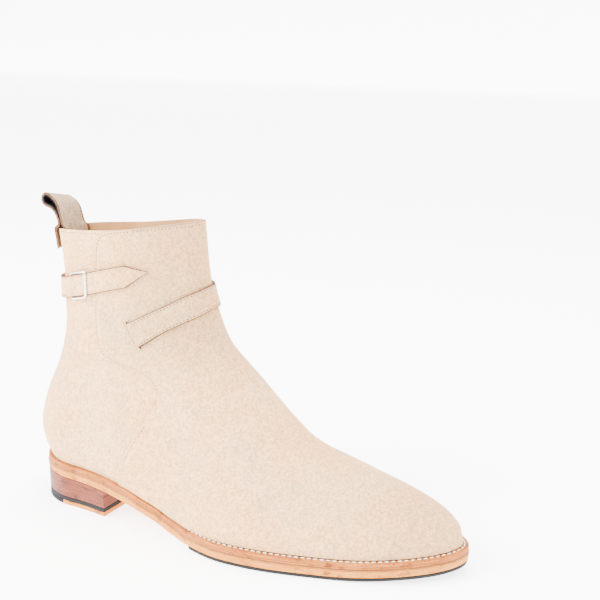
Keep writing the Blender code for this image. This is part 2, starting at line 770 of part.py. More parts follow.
def circle_sections(points, radius, sides, closed):
    """Return round sections along a path."""
    points = np.asarray(points, float)
    if closed:
        ahead, behind = np.roll(points, -1, 0), np.roll(points, 1, 0)
    else:
        ahead = np.concatenate([points[1:], points[-1:]])
        behind = np.concatenate([points[:1], points[:-1]])
    heading = ahead - behind
    heading /= np.linalg.norm(heading, axis=1, keepdims=True)
    least = np.eye(3)[np.argmin(np.abs(heading[0]))]
    side = np.cross(heading[0], least)
    angles = np.arange(sides) * 2 * np.pi / sides
    sections = []
    for point, along in zip(points, heading):
        side = side - along * (side @ along)
        side /= np.linalg.norm(side)
        other = np.cross(along, side)
        sections.append([point + radius * (np.cos(a) * side + np.sin(a) * other)
                         for a in angles])
    return sections


def rod(name, points, radius, group, sides=8, closed=False, finish=None):
    """Return a round rod along a path."""
    sections = circle_sections(points, radius, sides, closed)
    return mesh_object(name, *loft(sections, closed), group, finish)


def build_buckle(boot, finish):
    """Build the buckle: its frame and the prong in the strap's hole.

    The frame's rear bar lies under the strap and its front bar over it.
    """
    near = strap_point(BUCKLE_TURN, 0.5, 0.0)
    turns = np.linspace(BUCKLE_TURN, BUCKLE_TURN + BUCKLE_TURN_SEARCH, SAMPLES)
    reach = np.array([np.linalg.norm(strap_point(turn, 0.5, 0.0) - near) for turn in turns])
    far_turn = np.interp(BUCKLE_LENGTH - BUCKLE_BAR, reach, turns)
    width = np.linalg.norm(strap_point(BUCKLE_TURN, 1.0, 0.0)
                           - strap_point(BUCKLE_TURN, 0.0, 0.0))
    spare = (BUCKLE_BAR / 2 + GAP) / width
    corner_along = BUCKLE_CORNER / BUCKLE_LENGTH
    corner_across = BUCKLE_CORNER / width
    lift_near = GAP + BUCKLE_BAR / 2
    lift_far = float(STRAP["lift"](far_turn)) + STRAP_THICKNESS + GAP + BUCKLE_BAR / 2
    path = []
    for along, across, start in ((1, 1, 0), (0, 1, 90), (0, 0, 180), (1, 0, 270)):
        for angle in np.radians(start + np.array([0, 30, 60, 90])):
            u = along + (corner_along if along == 0 else -corner_along)
            u = u + corner_along * np.cos(angle)
            w = across * (1 + spare) - (1 - across) * spare
            w = w + (-corner_across if across else corner_across)
            w = w + corner_across * np.sin(angle)
            turn = BUCKLE_TURN + (far_turn - BUCKLE_TURN) * u
            lift = lift_near + (lift_far - lift_near) * u
            path.append(strap_point(turn, w, lift - float(STRAP["lift"](turn))))
    rod("buckle_frame", path, BUCKLE_BAR / 2, boot, 8, True, finish)
    under = GAP + PRONG_DIAMETER / 2
    start = BUCKLE_TURN + (HOLE_TURN - BUCKLE_TURN) * PRONG_START
    lifts = [under, under, float(STRAP["lift"](HOLE_TURN)) + STRAP_THICKNESS - GAP]
    places = [start, HOLE_TURN, HOLE_TURN]
    prong = [strap_point(turn, 0.5, lift - float(STRAP["lift"](turn)))
             for turn, lift in zip(places, lifts)]
    rod("buckle_prong", prong, PRONG_DIAMETER / 2, boot, 8, False, finish)


def back_y(x, height, out):
    """Return y of the boot's back at a distance out, at a place across it."""
    height = min(height, COLLAR_BACK_HEIGHT)
    turns = np.linspace(-BACK_TURN, BACK_TURN, BACK_SAMPLES)
    points = offset_point(turns, rise_at(0.0, height), out)
    return np.interp(x, points[:, 0], points[:, 1])


def band(name, path, across, thickness, group, finish):
    """Return a band of a thickness to the right of a path seen from +X.

    path gives (y, z) points for each place across the band.
    """
    sides = []
    for x in across:
        line = np.asarray(path(x))
        ahead = np.concatenate([line[1:], line[-1:]])
        behind = np.concatenate([line[:1], line[:-1]])
        heading = ahead - behind
        heading /= np.linalg.norm(heading, axis=1, keepdims=True)
        inward = np.stack([heading[:, 1], -heading[:, 0]], -1)
        both = (line, line + inward * thickness)
        sides.append([np.column_stack([np.full(len(line), x), face]) for face in both])
    sides = np.array(sides)
    sections = [np.concatenate([sides[:, 0, i], sides[::-1, 1, i]])
                for i in range(sides.shape[2])]
    thing = mesh_object(name, *loft(sections, paired=True), group)
    dress(thing, finish)
    return thing


def build_pull_loop(boot, looks):
    """Build the pull loop and the tape that lines it."""
    across = np.linspace(-0.5, 0.5, 5) * LOOP_WIDTH
    out = STRIP_THICKNESS + 3 * GAP + LOOP_THICKNESS
    drops = [COLLAR_BACK_HEIGHT - LOOP_LEG * share for share in (1.0, 0.5, 0.0)]

    def loop_line(x):
        centre = back_y(0.0, COLLAR_BACK_HEIGHT, 0.0)
        bow = back_y(x, COLLAR_BACK_HEIGHT, 0.0) - centre
        height = LOOP_HEIGHT * (1 - LOOP_DROOP * (0.5 - x / LOOP_WIDTH))
        rise = [(centre + point.forward * LOOP_HEIGHT
                 + bow * (1 - LOOP_STRAIGHTENING * point.up),
                 COLLAR_BACK_HEIGHT + point.up * height) for point in LOOP_PROFILE]
        return rise

    def whole_line(x):
        outside = [(back_y(x, height, out), height) for height in drops]
        inside = [(back_y(x, height, -WALL - 2 * GAP - LOOP_THICKNESS), height)
                  for height in drops[::-1]]
        return spline(outside + loop_line(x) + inside, 2)

    def tape_line(x):
        line = spline(loop_line(x), 2)[1:-1]
        heading = np.gradient(line, axis=0)
        heading /= np.linalg.norm(heading, axis=1, keepdims=True)
        inward = np.stack([heading[:, 1], -heading[:, 0]], -1)
        return line + inward * (LOOP_THICKNESS + GAP)

    band("pull_loop", whole_line, across, LOOP_THICKNESS, boot, looks["suede"])
    band("pull_loop_tape", tape_line, across, TAPE_THICKNESS, boot, looks["tape"])


def build_back_strip(boot, finish):
    """Build the strip that covers the seam down the back."""
    heights = np.linspace(COLLAR_BACK_HEIGHT - STRIP_THICKNESS, STRIP_FOOT_HEIGHT, STRIP_STEPS)

    def line(x):
        return [(back_y(x, height, STRIP_THICKNESS + GAP), height) for height in heights[::-1]]

    across = np.array([-0.5, 0.0, 0.5]) * STRIP_WIDTH
    band("back_seam_strip", line, across, STRIP_THICKNESS, boot, finish)


def main():
    """Build the boot."""
    clear_scene()
    boot = collection(COLLECTION_NAME)
    cutters = collection("cutters")
    looks = {
        "suede": material("sand_suede", (0.62, 0.50, 0.40), 0.95),
        "lining": material("tan_lining", (0.62, 0.34, 0.13), 0.55),
        "welt": material("tan_welt", (0.66, 0.38, 0.17), 0.5),
        "sole": material("natural_sole_leather", (0.72, 0.47, 0.25), 0.5),
        "stack": material("stacked_heel_leather", (0.40, 0.16, 0.09), 0.4),
        "rubber": material("black_rubber", (0.03, 0.03, 0.035), 0.6),
        "steel": material("polished_steel", (0.8, 0.8, 0.8), 0.15, 1.0),
        "tape": material("black_tape", (0.02, 0.02, 0.025), 0.9),
    }
    build_upper(boot, cutters, looks["suede"])
    build_sole(boot, looks)
    build_strap(boot, cutters, looks["suede"])
    build_buckle(boot, looks["steel"])
    build_pull_loop(boot, looks)
    build_back_strip(boot, looks["tape"])


main()
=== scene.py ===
"""Looks of a jodhpur boot for the right foot: sand suede on a stitched leather sole.

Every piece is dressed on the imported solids.  Sizes are in metres, the toe points
along +Y, the outer side of the foot is +X and the floor is at z = 0.
"""

import logging
from dataclasses import dataclass
from enum import Enum
from typing import Callable, NamedTuple, Sequence

import bmesh
import bpy
import numpy as np
from mathutils import Matrix


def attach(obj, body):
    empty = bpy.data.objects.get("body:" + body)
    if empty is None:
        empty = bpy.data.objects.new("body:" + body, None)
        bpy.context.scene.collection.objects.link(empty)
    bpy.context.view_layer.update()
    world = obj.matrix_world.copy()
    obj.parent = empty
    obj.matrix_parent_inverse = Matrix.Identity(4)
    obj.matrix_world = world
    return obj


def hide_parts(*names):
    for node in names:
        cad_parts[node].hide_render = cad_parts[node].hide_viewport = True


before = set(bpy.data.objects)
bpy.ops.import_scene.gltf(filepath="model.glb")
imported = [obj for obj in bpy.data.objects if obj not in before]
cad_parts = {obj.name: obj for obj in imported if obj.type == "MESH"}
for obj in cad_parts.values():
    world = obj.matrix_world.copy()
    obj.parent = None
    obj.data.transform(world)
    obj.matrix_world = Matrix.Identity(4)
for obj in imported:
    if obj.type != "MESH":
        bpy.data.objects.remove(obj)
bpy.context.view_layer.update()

LOG = logging.getLogger("jodhpur_boot")
MM = 0.001
BODY = "root"

Points = np.ndarray
Curve = Callable[[Points], Points]
Section = Callable[[Points], Points]


class EndPoint(NamedTuple):
    """How far along the last its front or back lies at a rise, in shares of its length."""

    rise: float
    reach: float


class Width(NamedTuple):
    """Half widths of a level, in shares of the heel, waist and ball widths."""

    rise: float
    heel_lat: float
    heel_med: float
    waist_lat: float
    waist_med: float
    ball_lat: float
    ball_med: float
    toe_lat: float
    toe_med: float
    shaft: float


class Rounding(NamedTuple):
    """How a level rounds off at its back and front."""

    rise: float
    back: float
    front: float
    back_power: float
    front_power: float


class TreadPoint(NamedTuple):
    """Underside of the outsole: shares of the heel's height and the toe spring."""

    along: float
    heel: float
    toe: float


class SeamPoint(NamedTuple):
    """A place on the side: shares of the last's length and the collar's height."""

    along: float
    height: float


class StrapRow(NamedTuple):
    """The strap's two edges at a turn, and its height over the last in mm."""

    top_turn: float
    top: float
    bottom_turn: float
    bottom: float
    lift: float


class LoopPoint(NamedTuple):
    """A point of the pull loop's side view, in shares of its height."""

    forward: float
    up: float


FRONT_LINE = (
    EndPoint(0.000, 1.000),
    EndPoint(0.045, 0.993),
    EndPoint(0.078, 0.973),
    EndPoint(0.130, 0.912),
    EndPoint(0.172, 0.838),
    EndPoint(0.197, 0.783),
    EndPoint(0.224, 0.724),
    EndPoint(0.266, 0.669),
    EndPoint(0.330, 0.620),
    EndPoint(0.400, 0.571),
    EndPoint(0.480, 0.518),
    EndPoint(0.570, 0.464),
    EndPoint(0.660, 0.438),
    EndPoint(0.800, 0.414),
    EndPoint(1.000, 0.402),
)
BACK_LINE = (
    EndPoint(0.00, 0.012),
    EndPoint(0.06, -0.001),
    EndPoint(0.14, -0.010),
    EndPoint(0.25, -0.001),
    EndPoint(0.38, 0.024),
    EndPoint(0.50, 0.044),
    EndPoint(0.62, 0.053),
    EndPoint(0.80, 0.053),
    EndPoint(1.00, 0.042),
)
WIDTHS = (
    Width(0.00, 0.96, 0.96, 1.33, 0.78, 1.05, 0.94, 0.94, 0.95, 0.00),
    Width(0.08, 1.05, 1.04, 1.38, 0.96, 1.07, 0.99, 0.94, 0.95, 0.00),
    Width(0.18, 1.06, 1.03, 1.36, 1.12, 0.98, 0.92, 0.87, 0.86, 0.00),
    Width(0.30, 1.00, 0.97, 1.27, 1.17, 0.87, 0.81, 0.78, 0.74, 0.00),
    Width(0.45, 0.90, 0.89, 1.18, 1.14, 0.78, 0.74, 0.78, 0.74, 0.10),
    Width(0.60, 0.86, 0.86, 1.12, 1.10, 0.70, 0.68, 0.70, 0.68, 0.40),
    Width(0.80, 0.86, 0.86, 1.05, 1.05, 0.70, 0.70, 0.70, 0.70, 0.78),
    Width(1.00, 0.86, 0.86, 1.05, 1.05, 0.74, 0.74, 0.74, 0.74, 1.00),
)
OUTER_STATIONS = (0.12, 0.36, 0.56, 0.80)
INNER_STATIONS = (0.12, 0.38, 0.68, 0.84)
ROUNDINGS = (
    Rounding(0.00, 0.115, 0.38, 2.0, 1.80),
    Rounding(0.08, 0.118, 0.40, 2.0, 1.85),
    Rounding(0.18, 0.125, 0.43, 2.0, 1.90),
    Rounding(0.25, 0.135, 0.42, 2.0, 1.95),
    Rounding(0.32, 0.145, 0.37, 2.0, 2.00),
    Rounding(0.45, 0.160, 0.25, 2.0, 2.00),
    Rounding(0.60, 0.170, 0.19, 2.1, 2.00),
    Rounding(0.80, 0.160, 0.175, 2.3, 2.00),
    Rounding(1.00, 0.155, 0.170, 2.5, 2.00),
)
TREAD_LINE = (
    TreadPoint(-0.05, 1.010, 0.00),
    TreadPoint(0.118, 0.940, 0.00),
    TreadPoint(0.222, 0.850, 0.00),
    TreadPoint(0.291, 0.700, 0.00),
    TreadPoint(0.357, 0.400, 0.00),
    TreadPoint(0.416, 0.100, 0.00),
    TreadPoint(0.460, 0.005, 0.00),
    TreadPoint(0.500, 0.000, 0.00),
    TreadPoint(0.780, 0.000, 0.00),
    TreadPoint(0.840, 0.000, 0.13),
    TreadPoint(0.910, 0.000, 0.42),
    TreadPoint(1.040, 0.000, 1.00),
)
FRONT_PIECE_EDGE = (
    SeamPoint(0.288, 1.050),
    SeamPoint(0.270, 1.038),
    SeamPoint(0.228, 1.028),
    SeamPoint(0.203, 1.017),
    SeamPoint(0.188, 0.998),
    SeamPoint(0.182, 0.972),
    SeamPoint(0.179, 0.883),
    SeamPoint(0.180, 0.776),
    SeamPoint(0.184, 0.678),
    SeamPoint(0.200, 0.606),
    SeamPoint(0.226, 0.577),
    SeamPoint(0.266, 0.565),
    SeamPoint(0.305, 0.558),
    SeamPoint(0.338, 0.536),
    SeamPoint(0.352, 0.513),
    SeamPoint(0.355, 0.476),
    SeamPoint(0.338, 0.417),
    SeamPoint(0.312, 0.346),
    SeamPoint(0.287, 0.276),
    SeamPoint(0.273, 0.218),
    SeamPoint(0.268, 0.181),
    SeamPoint(0.262, 0.100),
)
HALF_MOON = (SeamPoint(0.333, 0.405), SeamPoint(0.286, 0.480), SeamPoint(0.262, 0.562))
OVERLAY = 1.0 * MM
GAP = 0.3 * MM
SEAT = 0.35 * MM
STRIP_THICKNESS = 0.7 * MM
BUCKLE_BAR = 1.5 * MM
PRONG_DIAMETER = 1.1 * MM
OVER_FRONT_PIECE = OVERLAY + SEAT
OVER_STRIP = STRIP_THICKNESS + GAP + SEAT
OVER_BACK_PIECE = STRIP_THICKNESS + GAP
OVER_BAR = BUCKLE_BAR + 2 * GAP
OVER_PRONG = PRONG_DIAMETER + GAP + 1.5 * SEAT
OVER_DIP = 2 * SEAT
STRAP_PATH = (
    StrapRow(0.272, 0.717, 0.289, 0.641, OVER_FRONT_PIECE),
    StrapRow(0.345, 0.780, 0.352, 0.705, OVER_FRONT_PIECE),
    StrapRow(0.420, 0.828, 0.420, 0.746, OVER_FRONT_PIECE),
    StrapRow(0.500, 0.849, 0.500, 0.771, OVER_FRONT_PIECE),
    StrapRow(0.600, 0.849, 0.600, 0.771, OVER_FRONT_PIECE),
    StrapRow(0.760, 0.843, 0.760, 0.764, OVER_FRONT_PIECE),
    StrapRow(0.900, 0.834, 0.900, 0.756, OVER_BACK_PIECE),
    StrapRow(1.000, 0.830, 1.000, 0.751, OVER_STRIP),
    StrapRow(1.080, 0.834, 1.080, 0.756, OVER_BACK_PIECE),
    StrapRow(1.128, 0.847, 1.128, 0.770, OVER_BAR),
    StrapRow(1.152, 0.857, 1.152, 0.779, OVER_PRONG),
    StrapRow(1.180, 0.868, 1.180, 0.789, OVER_DIP),
    StrapRow(1.196, 0.876, 1.196, 0.797, OVER_FRONT_PIECE),
    StrapRow(1.270, 0.911, 1.270, 0.834, OVER_FRONT_PIECE),
    StrapRow(1.325, 0.936, 1.325, 0.859, OVER_FRONT_PIECE),
)
LOOP_PROFILE = (
    LoopPoint(-0.03, 0.15),
    LoopPoint(-0.10, 0.40),
    LoopPoint(-0.22, 0.54),
    LoopPoint(-0.44, 0.62),
    LoopPoint(-0.53, 0.74),
    LoopPoint(-0.50, 0.91),
    LoopPoint(-0.34, 1.00),
    LoopPoint(-0.11, 0.88),
    LoopPoint(0.04, 0.68),
    LoopPoint(0.10, 0.42),
    LoopPoint(0.15, 0.15),
)
# The two rows of stitches round the strap's slot: millimetres along the last
# and up from the floor
SLOT_OUTER = ((80.5, 130.3), (75.5, 128.2), (87.0, 113.3), (92.3, 115.2))
SLOT_INNER = ((80.6, 128.6), (77.8, 127.3), (88.0, 115.0), (91.2, 116.4))


def smooth_curve(places: Sequence[float], values: Sequence[float]) -> Curve:
    """Return a curve through the values that never overshoots them.

    Args:
        places: Where the values are, in rising order.
        values: What the curve is there.

    Returns:
        A function of one array of places.
    """
    xs, ys = np.asarray(places, float), np.asarray(values, float)
    slopes = np.diff(ys) / np.diff(xs)
    tangents = np.zeros_like(ys)
    tangents[0], tangents[-1] = slopes[0], slopes[-1]
    for i in range(1, len(slopes)):
        if slopes[i - 1] * slopes[i] > 0:
            near = 2 * (xs[i + 1] - xs[i]) + (xs[i] - xs[i - 1])
            far = (xs[i + 1] - xs[i]) + 2 * (xs[i] - xs[i - 1])
            tangents[i] = (near + far) / (near / slopes[i - 1] + far / slopes[i])

    def curve(x: Points) -> Points:
        """Return the curve at x."""
        x = np.clip(np.asarray(x, float), xs[0], xs[-1])
        k = np.clip(np.searchsorted(xs, x, side="right") - 1, 0, len(xs) - 2)
        step = xs[k + 1] - xs[k]
        t = (x - xs[k]) / step
        start = ys[k] * (1 + 2 * t) * (1 - t) ** 2 + step * tangents[k] * t * (1 - t) ** 2
        end = ys[k + 1] * t * t * (3 - 2 * t) + step * tangents[k + 1] * t * t * (t - 1)
        return start + end

    return curve


def table_curves(table: Sequence[NamedTuple]) -> dict[str, Curve]:
    """Return a curve for each column of a table, over its first column."""
    places = [row[0] for row in table]
    return {name: smooth_curve(places, [getattr(row, name) for row in table])
            for name in table[0]._fields[1:]}


FRONT = table_curves(FRONT_LINE)
BACK = table_curves(BACK_LINE)
WIDTH = table_curves(WIDTHS)
ROUND = table_curves(ROUNDINGS)
TREAD = table_curves(TREAD_LINE)
STRAP = table_curves(STRAP_PATH)


def ease(t: Points) -> Points:
    """Return a smooth step from 0 to 1."""
    t = np.clip(t, 0.0, 1.0)
    return t * t * (3 - 2 * t)


def rounded_end(share: Points, power: Points) -> Points:
    """Return the width left at a share of the way in from a rounded end."""
    share = np.clip(share, 0.0, 1.0)
    return np.maximum(1 - (1 - share) ** power, 0.0) ** (1 / power)


def unit(vectors: Points) -> Points:
    """Return vectors of length one."""
    return vectors / np.maximum(np.linalg.norm(vectors, axis=-1, keepdims=True), 1e-12)


def travel(points: Points) -> Points:
    """Return the distance travelled along a line of points."""
    steps = np.linalg.norm(np.diff(points, axis=0), axis=-1)
    return np.concatenate([[0.0], np.cumsum(steps)])


def resample(points: Points, count: int) -> Points:
    """Return a line of points set at even distances."""
    far = travel(points)
    places = np.linspace(0, far[-1], count)
    return np.stack([np.interp(places, far, column) for column in points.T], -1)


def spline(points: Sequence[Sequence[float]], steps: int) -> Points:
    """Return a smooth curve through the points.

    Args:
        points: Places that the curve passes.
        steps: How many steps each stretch is cut into.

    Returns:
        The curve's points.
    """
    points = np.asarray(points, float)
    padded = np.concatenate([[2 * points[0] - points[1]], points,
                             [2 * points[-1] - points[-2]]])
    curve = []
    for i in range(1, len(padded) - 2):
        before, start, end, after = padded[i - 1:i + 3]
        for t in np.arange(steps) / steps:
            curve.append(0.5 * (2 * start + (end - before) * t
                                + (2 * before - 5 * start + 4 * end - after) * t ** 2
                                + (3 * start - before - 3 * end + after) * t ** 3))
    return np.array(curve + [points[-1]])


@dataclass(frozen=True)
class Last:
    """The shape of the foot's last, from the feather line up to the collar.

    A turn goes round it: 0 is the back, 0.5 the front, and the outer side comes
    first.  A rise of 0 is the feather line and 1 the collar.
    """

    length: float = 288.5 * MM
    heel_width: float = 62.0 * MM
    waist_width: float = 58.0 * MM
    ball_width: float = 97.0 * MM
    collar_width: float = 42.0 * MM
    collar_back_height: float = 178.5 * MM
    collar_front_height: float = 191.5 * MM
    collar_dip: float = 1.5 * MM
    toe_swing: float = 5.0 * MM
    heel_centre: float = 34.0 * MM
    gap: float = GAP
    wall: float = 1.9 * MM
    overlay: float = OVERLAY
    welt_thickness: float = 3.9 * MM
    outsole_thickness: float = 4.6 * MM
    rubber_thickness: float = 2.0 * MM
    toe_spring: float = 5.2 * MM
    heel_height: float = 20.0 * MM

    def tread_height(self, s: Points) -> Points:
        """Return the underside of the outsole at a distance along the last."""
        along = np.asarray(s) / self.length
        flat = self.rubber_thickness + self.gap
        return flat + (self.heel_height - flat) * TREAD["heel"](along) \
            + self.toe_spring * TREAD["toe"](along)

    def outsole_top(self, s: Points) -> Points:
        """Return the upper face of the outsole."""
        return self.tread_height(s) + self.outsole_thickness

    def feather_height(self, s: Points) -> Points:
        """Return the height where the upper meets the welt."""
        return self.outsole_top(s) + self.gap + self.welt_thickness + self.gap

    def collar_height(self, s: Points) -> Points:
        """Return the height of the collar's edge."""
        back, front = BACK["reach"](1.0) * self.length, FRONT["reach"](1.0) * self.length
        share = (s - back) / (front - back)
        dip = self.collar_dip * np.sin(np.pi * np.clip(share, 0.0, 1.0)) ** 2
        return self.collar_back_height \
            + (self.collar_front_height - self.collar_back_height) * share - dip

    def side_at(self, s: Points, rise: Points, side: int) -> Points:
        """Return x of the last's side: side is 1 outside and -1 inside.

        Args:
            s: Distances along the last.
            rise: Rises.
            side: 1 outside and -1 inside.

        Returns:
            The places across the last.
        """
        word = "lat" if side > 0 else "med"
        shares = OUTER_STATIONS if side > 0 else INNER_STATIONS
        stations = [share * self.length for share in shares]
        widths = [WIDTH["heel_" + word](rise) * self.heel_width / 2,
                  WIDTH["waist_" + word](rise) * self.waist_width / 2,
                  WIDTH["ball_" + word](rise) * self.ball_width / 2,
                  WIDTH["toe_" + word](rise) * self.ball_width / 2]
        half = widths[0] + 0 * s
        for i in range(len(stations) - 1):
            share = ease((s - stations[i]) / (stations[i + 1] - stations[i]))
            half = half + (widths[i + 1] - widths[i]) * share
        shaft = WIDTH["shaft"](rise)
        half = half * (1 - shaft) + self.collar_width / 2 * shaft
        back, front = BACK["reach"](rise) * self.length, FRONT["reach"](rise) * self.length
        closing = rounded_end((s - back) / (ROUND["back"](rise) * self.length),
                              ROUND["back_power"](rise))
        closing = closing * rounded_end((front - s) / (ROUND["front"](rise) * self.length),
                                        ROUND["front_power"](rise))
        centre = -self.toe_swing * ease((s / self.length - 0.35) / 0.65)
        return centre + (side * half - centre) * closing

    def point(self, turn: Points, rise: Points) -> Points:
        """Return the point of the last at a turn and a rise."""
        turn, rise = np.broadcast_arrays(np.asarray(turn, float), np.asarray(rise, float))
        turn = np.mod(turn, 1.0)
        share = (1 - np.cos(2 * np.pi * turn)) / 2
        back, front = BACK["reach"](rise) * self.length, FRONT["reach"](rise) * self.length
        s = back + (front - back) * share
        x = np.where(turn <= 0.5, self.side_at(s, rise, 1), self.side_at(s, rise, -1))
        z = self.feather_height(s) * (1 - rise) + self.collar_height(s) * rise
        return np.stack([x, s - self.heel_centre, z], -1)

    def normal(self, turn: Points, rise: Points) -> Points:
        """Return the outward direction of the last at a turn and a rise."""
        step_turn, step_rise = 0.009, 0.008
        turn, rise = np.broadcast_arrays(np.asarray(turn, float), np.asarray(rise, float))
        across = self.point(turn + step_turn, rise) - self.point(turn - step_turn, rise)
        low, high = np.clip(rise - step_rise, 0, 1), np.clip(rise + step_rise, 0, 1)
        upward = self.point(turn, high) - self.point(turn, low)
        normal = np.cross(across, upward)
        edge = (rise <= 0) | (rise >= 1)
        normal[..., 2] = np.where(edge, 0.0, normal[..., 2])
        return unit(normal)

    def offset(self, turn: Points, rise: Points, out: Points) -> Points:
        """Return a point at a distance out from the last."""
        return self.point(turn, rise) + self.normal(turn, rise) * np.asarray(out)[..., None]

    def rises(self, low: float, high: float, count: int) -> Points:
        """Return rises spaced evenly along the boot's front and back lines."""
        levels = np.linspace(0, 1, 600)
        far = travel(self.point(0.5, levels)) + travel(self.point(0.0, levels))
        start, stop = np.interp([low, high], levels, far)
        return np.interp(np.linspace(start, stop, count), far, levels)

    def rise_at(self, turn: float, height: float) -> float:
        """Return the rise at which the last reaches a height."""
        levels = np.linspace(0, 1, 600)
        return float(np.interp(height, self.point(turn, levels)[:, 2], levels))

    def place(self, y: Points, z: Points, side: int) -> tuple[Points, Points]:
        """Return the turn and rise of a place seen from the side.

        Args:
            y: Places along the boot.
            z: Heights.
            side: 1 for the outer side and -1 for the inner one.

        Returns:
            The turns and the rises.
        """
        s = np.asarray(y) + self.heel_centre
        low, high = self.feather_height(s), self.collar_height(s)
        rise = np.clip((z - low) / (high - low), 0.0, 1.0)
        back, front = BACK["reach"](rise) * self.length, FRONT["reach"](rise) * self.length
        share = np.clip((s - back) / (front - back), 0.0, 1.0)
        turn = np.arccos(1 - 2 * share) / (2 * np.pi)
        return (turn if side > 0 else 1 - turn), rise

    def seam_place(self, point: SeamPoint) -> tuple[float, float]:
        """Return (y, z) of a seam point."""
        return point.along * self.length - self.heel_centre, point.height * self.collar_back_height


LAST = Last()


class Mark(NamedTuple):
    """A soft trough or ridge of the upper, from one place to another.

    The places are turns and rises, the width and depth metres; a trough's depth
    is negative.
    """

    start_turn: float
    start_rise: float
    end_turn: float
    end_rise: float
    width: float
    depth: float


CREASES = (
    Mark(0.300, 0.250, 0.430, 0.300, 9.0 * MM, -0.7 * MM),
    Mark(0.330, 0.330, 0.440, 0.400, 8.0 * MM, 0.5 * MM),
    Mark(0.340, 0.420, 0.450, 0.480, 8.0 * MM, -0.6 * MM),
    Mark(0.060, 0.400, 0.160, 0.360, 7.0 * MM, -0.6 * MM),
    Mark(0.050, 0.330, 0.170, 0.280, 8.0 * MM, 0.5 * MM),
    Mark(0.250, 0.480, 0.300, 0.440, 5.0 * MM, -0.9 * MM),
    Mark(0.680, 0.300, 0.570, 0.320, 9.0 * MM, -0.7 * MM),
    Mark(0.660, 0.400, 0.560, 0.440, 8.0 * MM, 0.5 * MM),
    Mark(0.940, 0.400, 0.840, 0.360, 7.0 * MM, -0.6 * MM),
)


def relief(points: Points) -> Points:
    """Return how far the creases lift or sink the upper at points of the last.

    Args:
        points: Points of the last.

    Returns:
        A distance for each point, upwards from the last.
    """
    lift = np.zeros(points.shape[:-1])
    for mark in CREASES:
        share = np.linspace(0, 1, 9)
        line = LAST.point(mark.start_turn + (mark.end_turn - mark.start_turn) * share,
                          mark.start_rise + (mark.end_rise - mark.start_rise) * share)
        nearest = np.full(lift.shape, np.inf)
        middle = np.zeros(lift.shape)
        for i in range(len(line) - 1):
            along = line[i + 1] - line[i]
            t = np.clip((points - line[i]) @ along / (along @ along), 0, 1)
            gap = np.linalg.norm(points - line[i] - t[..., None] * along, axis=-1)
            middle = np.where(gap < nearest, (i + t) / (len(line) - 1), middle)
            nearest = np.minimum(gap, nearest)
        fade = np.sin(np.pi * np.clip(0.15 + 0.7 * middle, 0, 1))
        lift += mark.depth * fade * np.exp(-(nearest / mark.width) ** 2)
    return lift


def make_object(name: str, points: Points, faces: list, materials: Sequence[bpy.types.Material],
                kinds: Sequence[int] | None = None, uv: Points | None = None) -> bpy.types.Object:
    """Return an object in the scene, shaded smooth.

    Args:
        name: The piece's name.
        points: Its points.
        faces: Its faces, as rows of point numbers.
        materials: Its materials.
        kinds: Each face's material number.
        uv: A (u, v) pair for each point.

    Returns:
        The object.
    """
    mesh = bpy.data.meshes.new(name)
    mesh.from_pydata(np.asarray(points).reshape(-1, 3).tolist(), [], faces)
    for material in materials:
        mesh.materials.append(material)
    if kinds is not None:
        mesh.polygons.foreach_set("material_index", np.asarray(kinds, np.int32))
    if uv is not None:
        layer = mesh.uv_layers.new(name="edge")
        corners = np.zeros(len(mesh.loops), np.int32)
        mesh.loops.foreach_get("vertex_index", corners)
        layer.data.foreach_set("uv", np.asarray(uv, np.float32)[corners].ravel())
    mesh.validate()
    thing = bpy.data.objects.new(name, mesh)
    bpy.context.scene.collection.objects.link(thing)
    face_outwards(thing)
    shade(thing)
    return thing


def face_outwards(thing: bpy.types.Object) -> None:
    """Merge doubled points and turn the faces of a closed piece outwards."""
    solid = bmesh.new()
    solid.from_mesh(thing.data)
    bmesh.ops.remove_doubles(solid, verts=solid.verts, dist=0.002 * MM)
    bmesh.ops.recalc_face_normals(solid, faces=solid.faces)
    solid.to_mesh(thing.data)
    solid.free()


def shade(thing: bpy.types.Object, angle: float = 40.0) -> None:
    """Shade a piece smooth, with edges sharper than an angle in degrees kept."""
    thing.data.shade_smooth()
    thing.data.set_sharp_from_angle(angle=np.radians(angle))


def strips(rows: int, columns: int, closed_rows: bool, closed_columns: bool,
           cap_ends: bool = False) -> list:
    """Return the faces of a grid of points numbered row by row.

    Args:
        rows: How many rows the grid has.
        columns: How many points a row has.
        closed_rows: Whether the last row joins the first.
        closed_columns: Whether each row closes on itself.
        cap_ends: Whether the first and the last row are filled.

    Returns:
        The faces, as rows of point numbers.
    """
    faces = []
    for i in range(rows if closed_rows else rows - 1):
        near, far = i * columns, (i + 1) % rows * columns
        for j in range(columns if closed_columns else columns - 1):
            k = (j + 1) % columns
            faces.append((near + j, near + k, far + k, far + j))
    if cap_ends:
        faces.append(tuple(range(columns)))
        faces.append(tuple((rows - 1) * columns + j for j in range(columns)))
    return faces


def keep(thing: bpy.types.Object, slot: str, *nodes: str) -> bpy.types.Object:
    """Let a finished piece ride on the boot and stand for its solids.

    Args:
        thing: The piece.
        slot: The name of a material slot; not used.
        nodes: The solids that it stands for, if any.

    Returns:
        The piece.
    """
    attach(thing, BODY)
    if nodes:
        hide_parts(*nodes)
    LOG.info("%s: %d faces", thing.name, len(thing.data.polygons))
    return thing


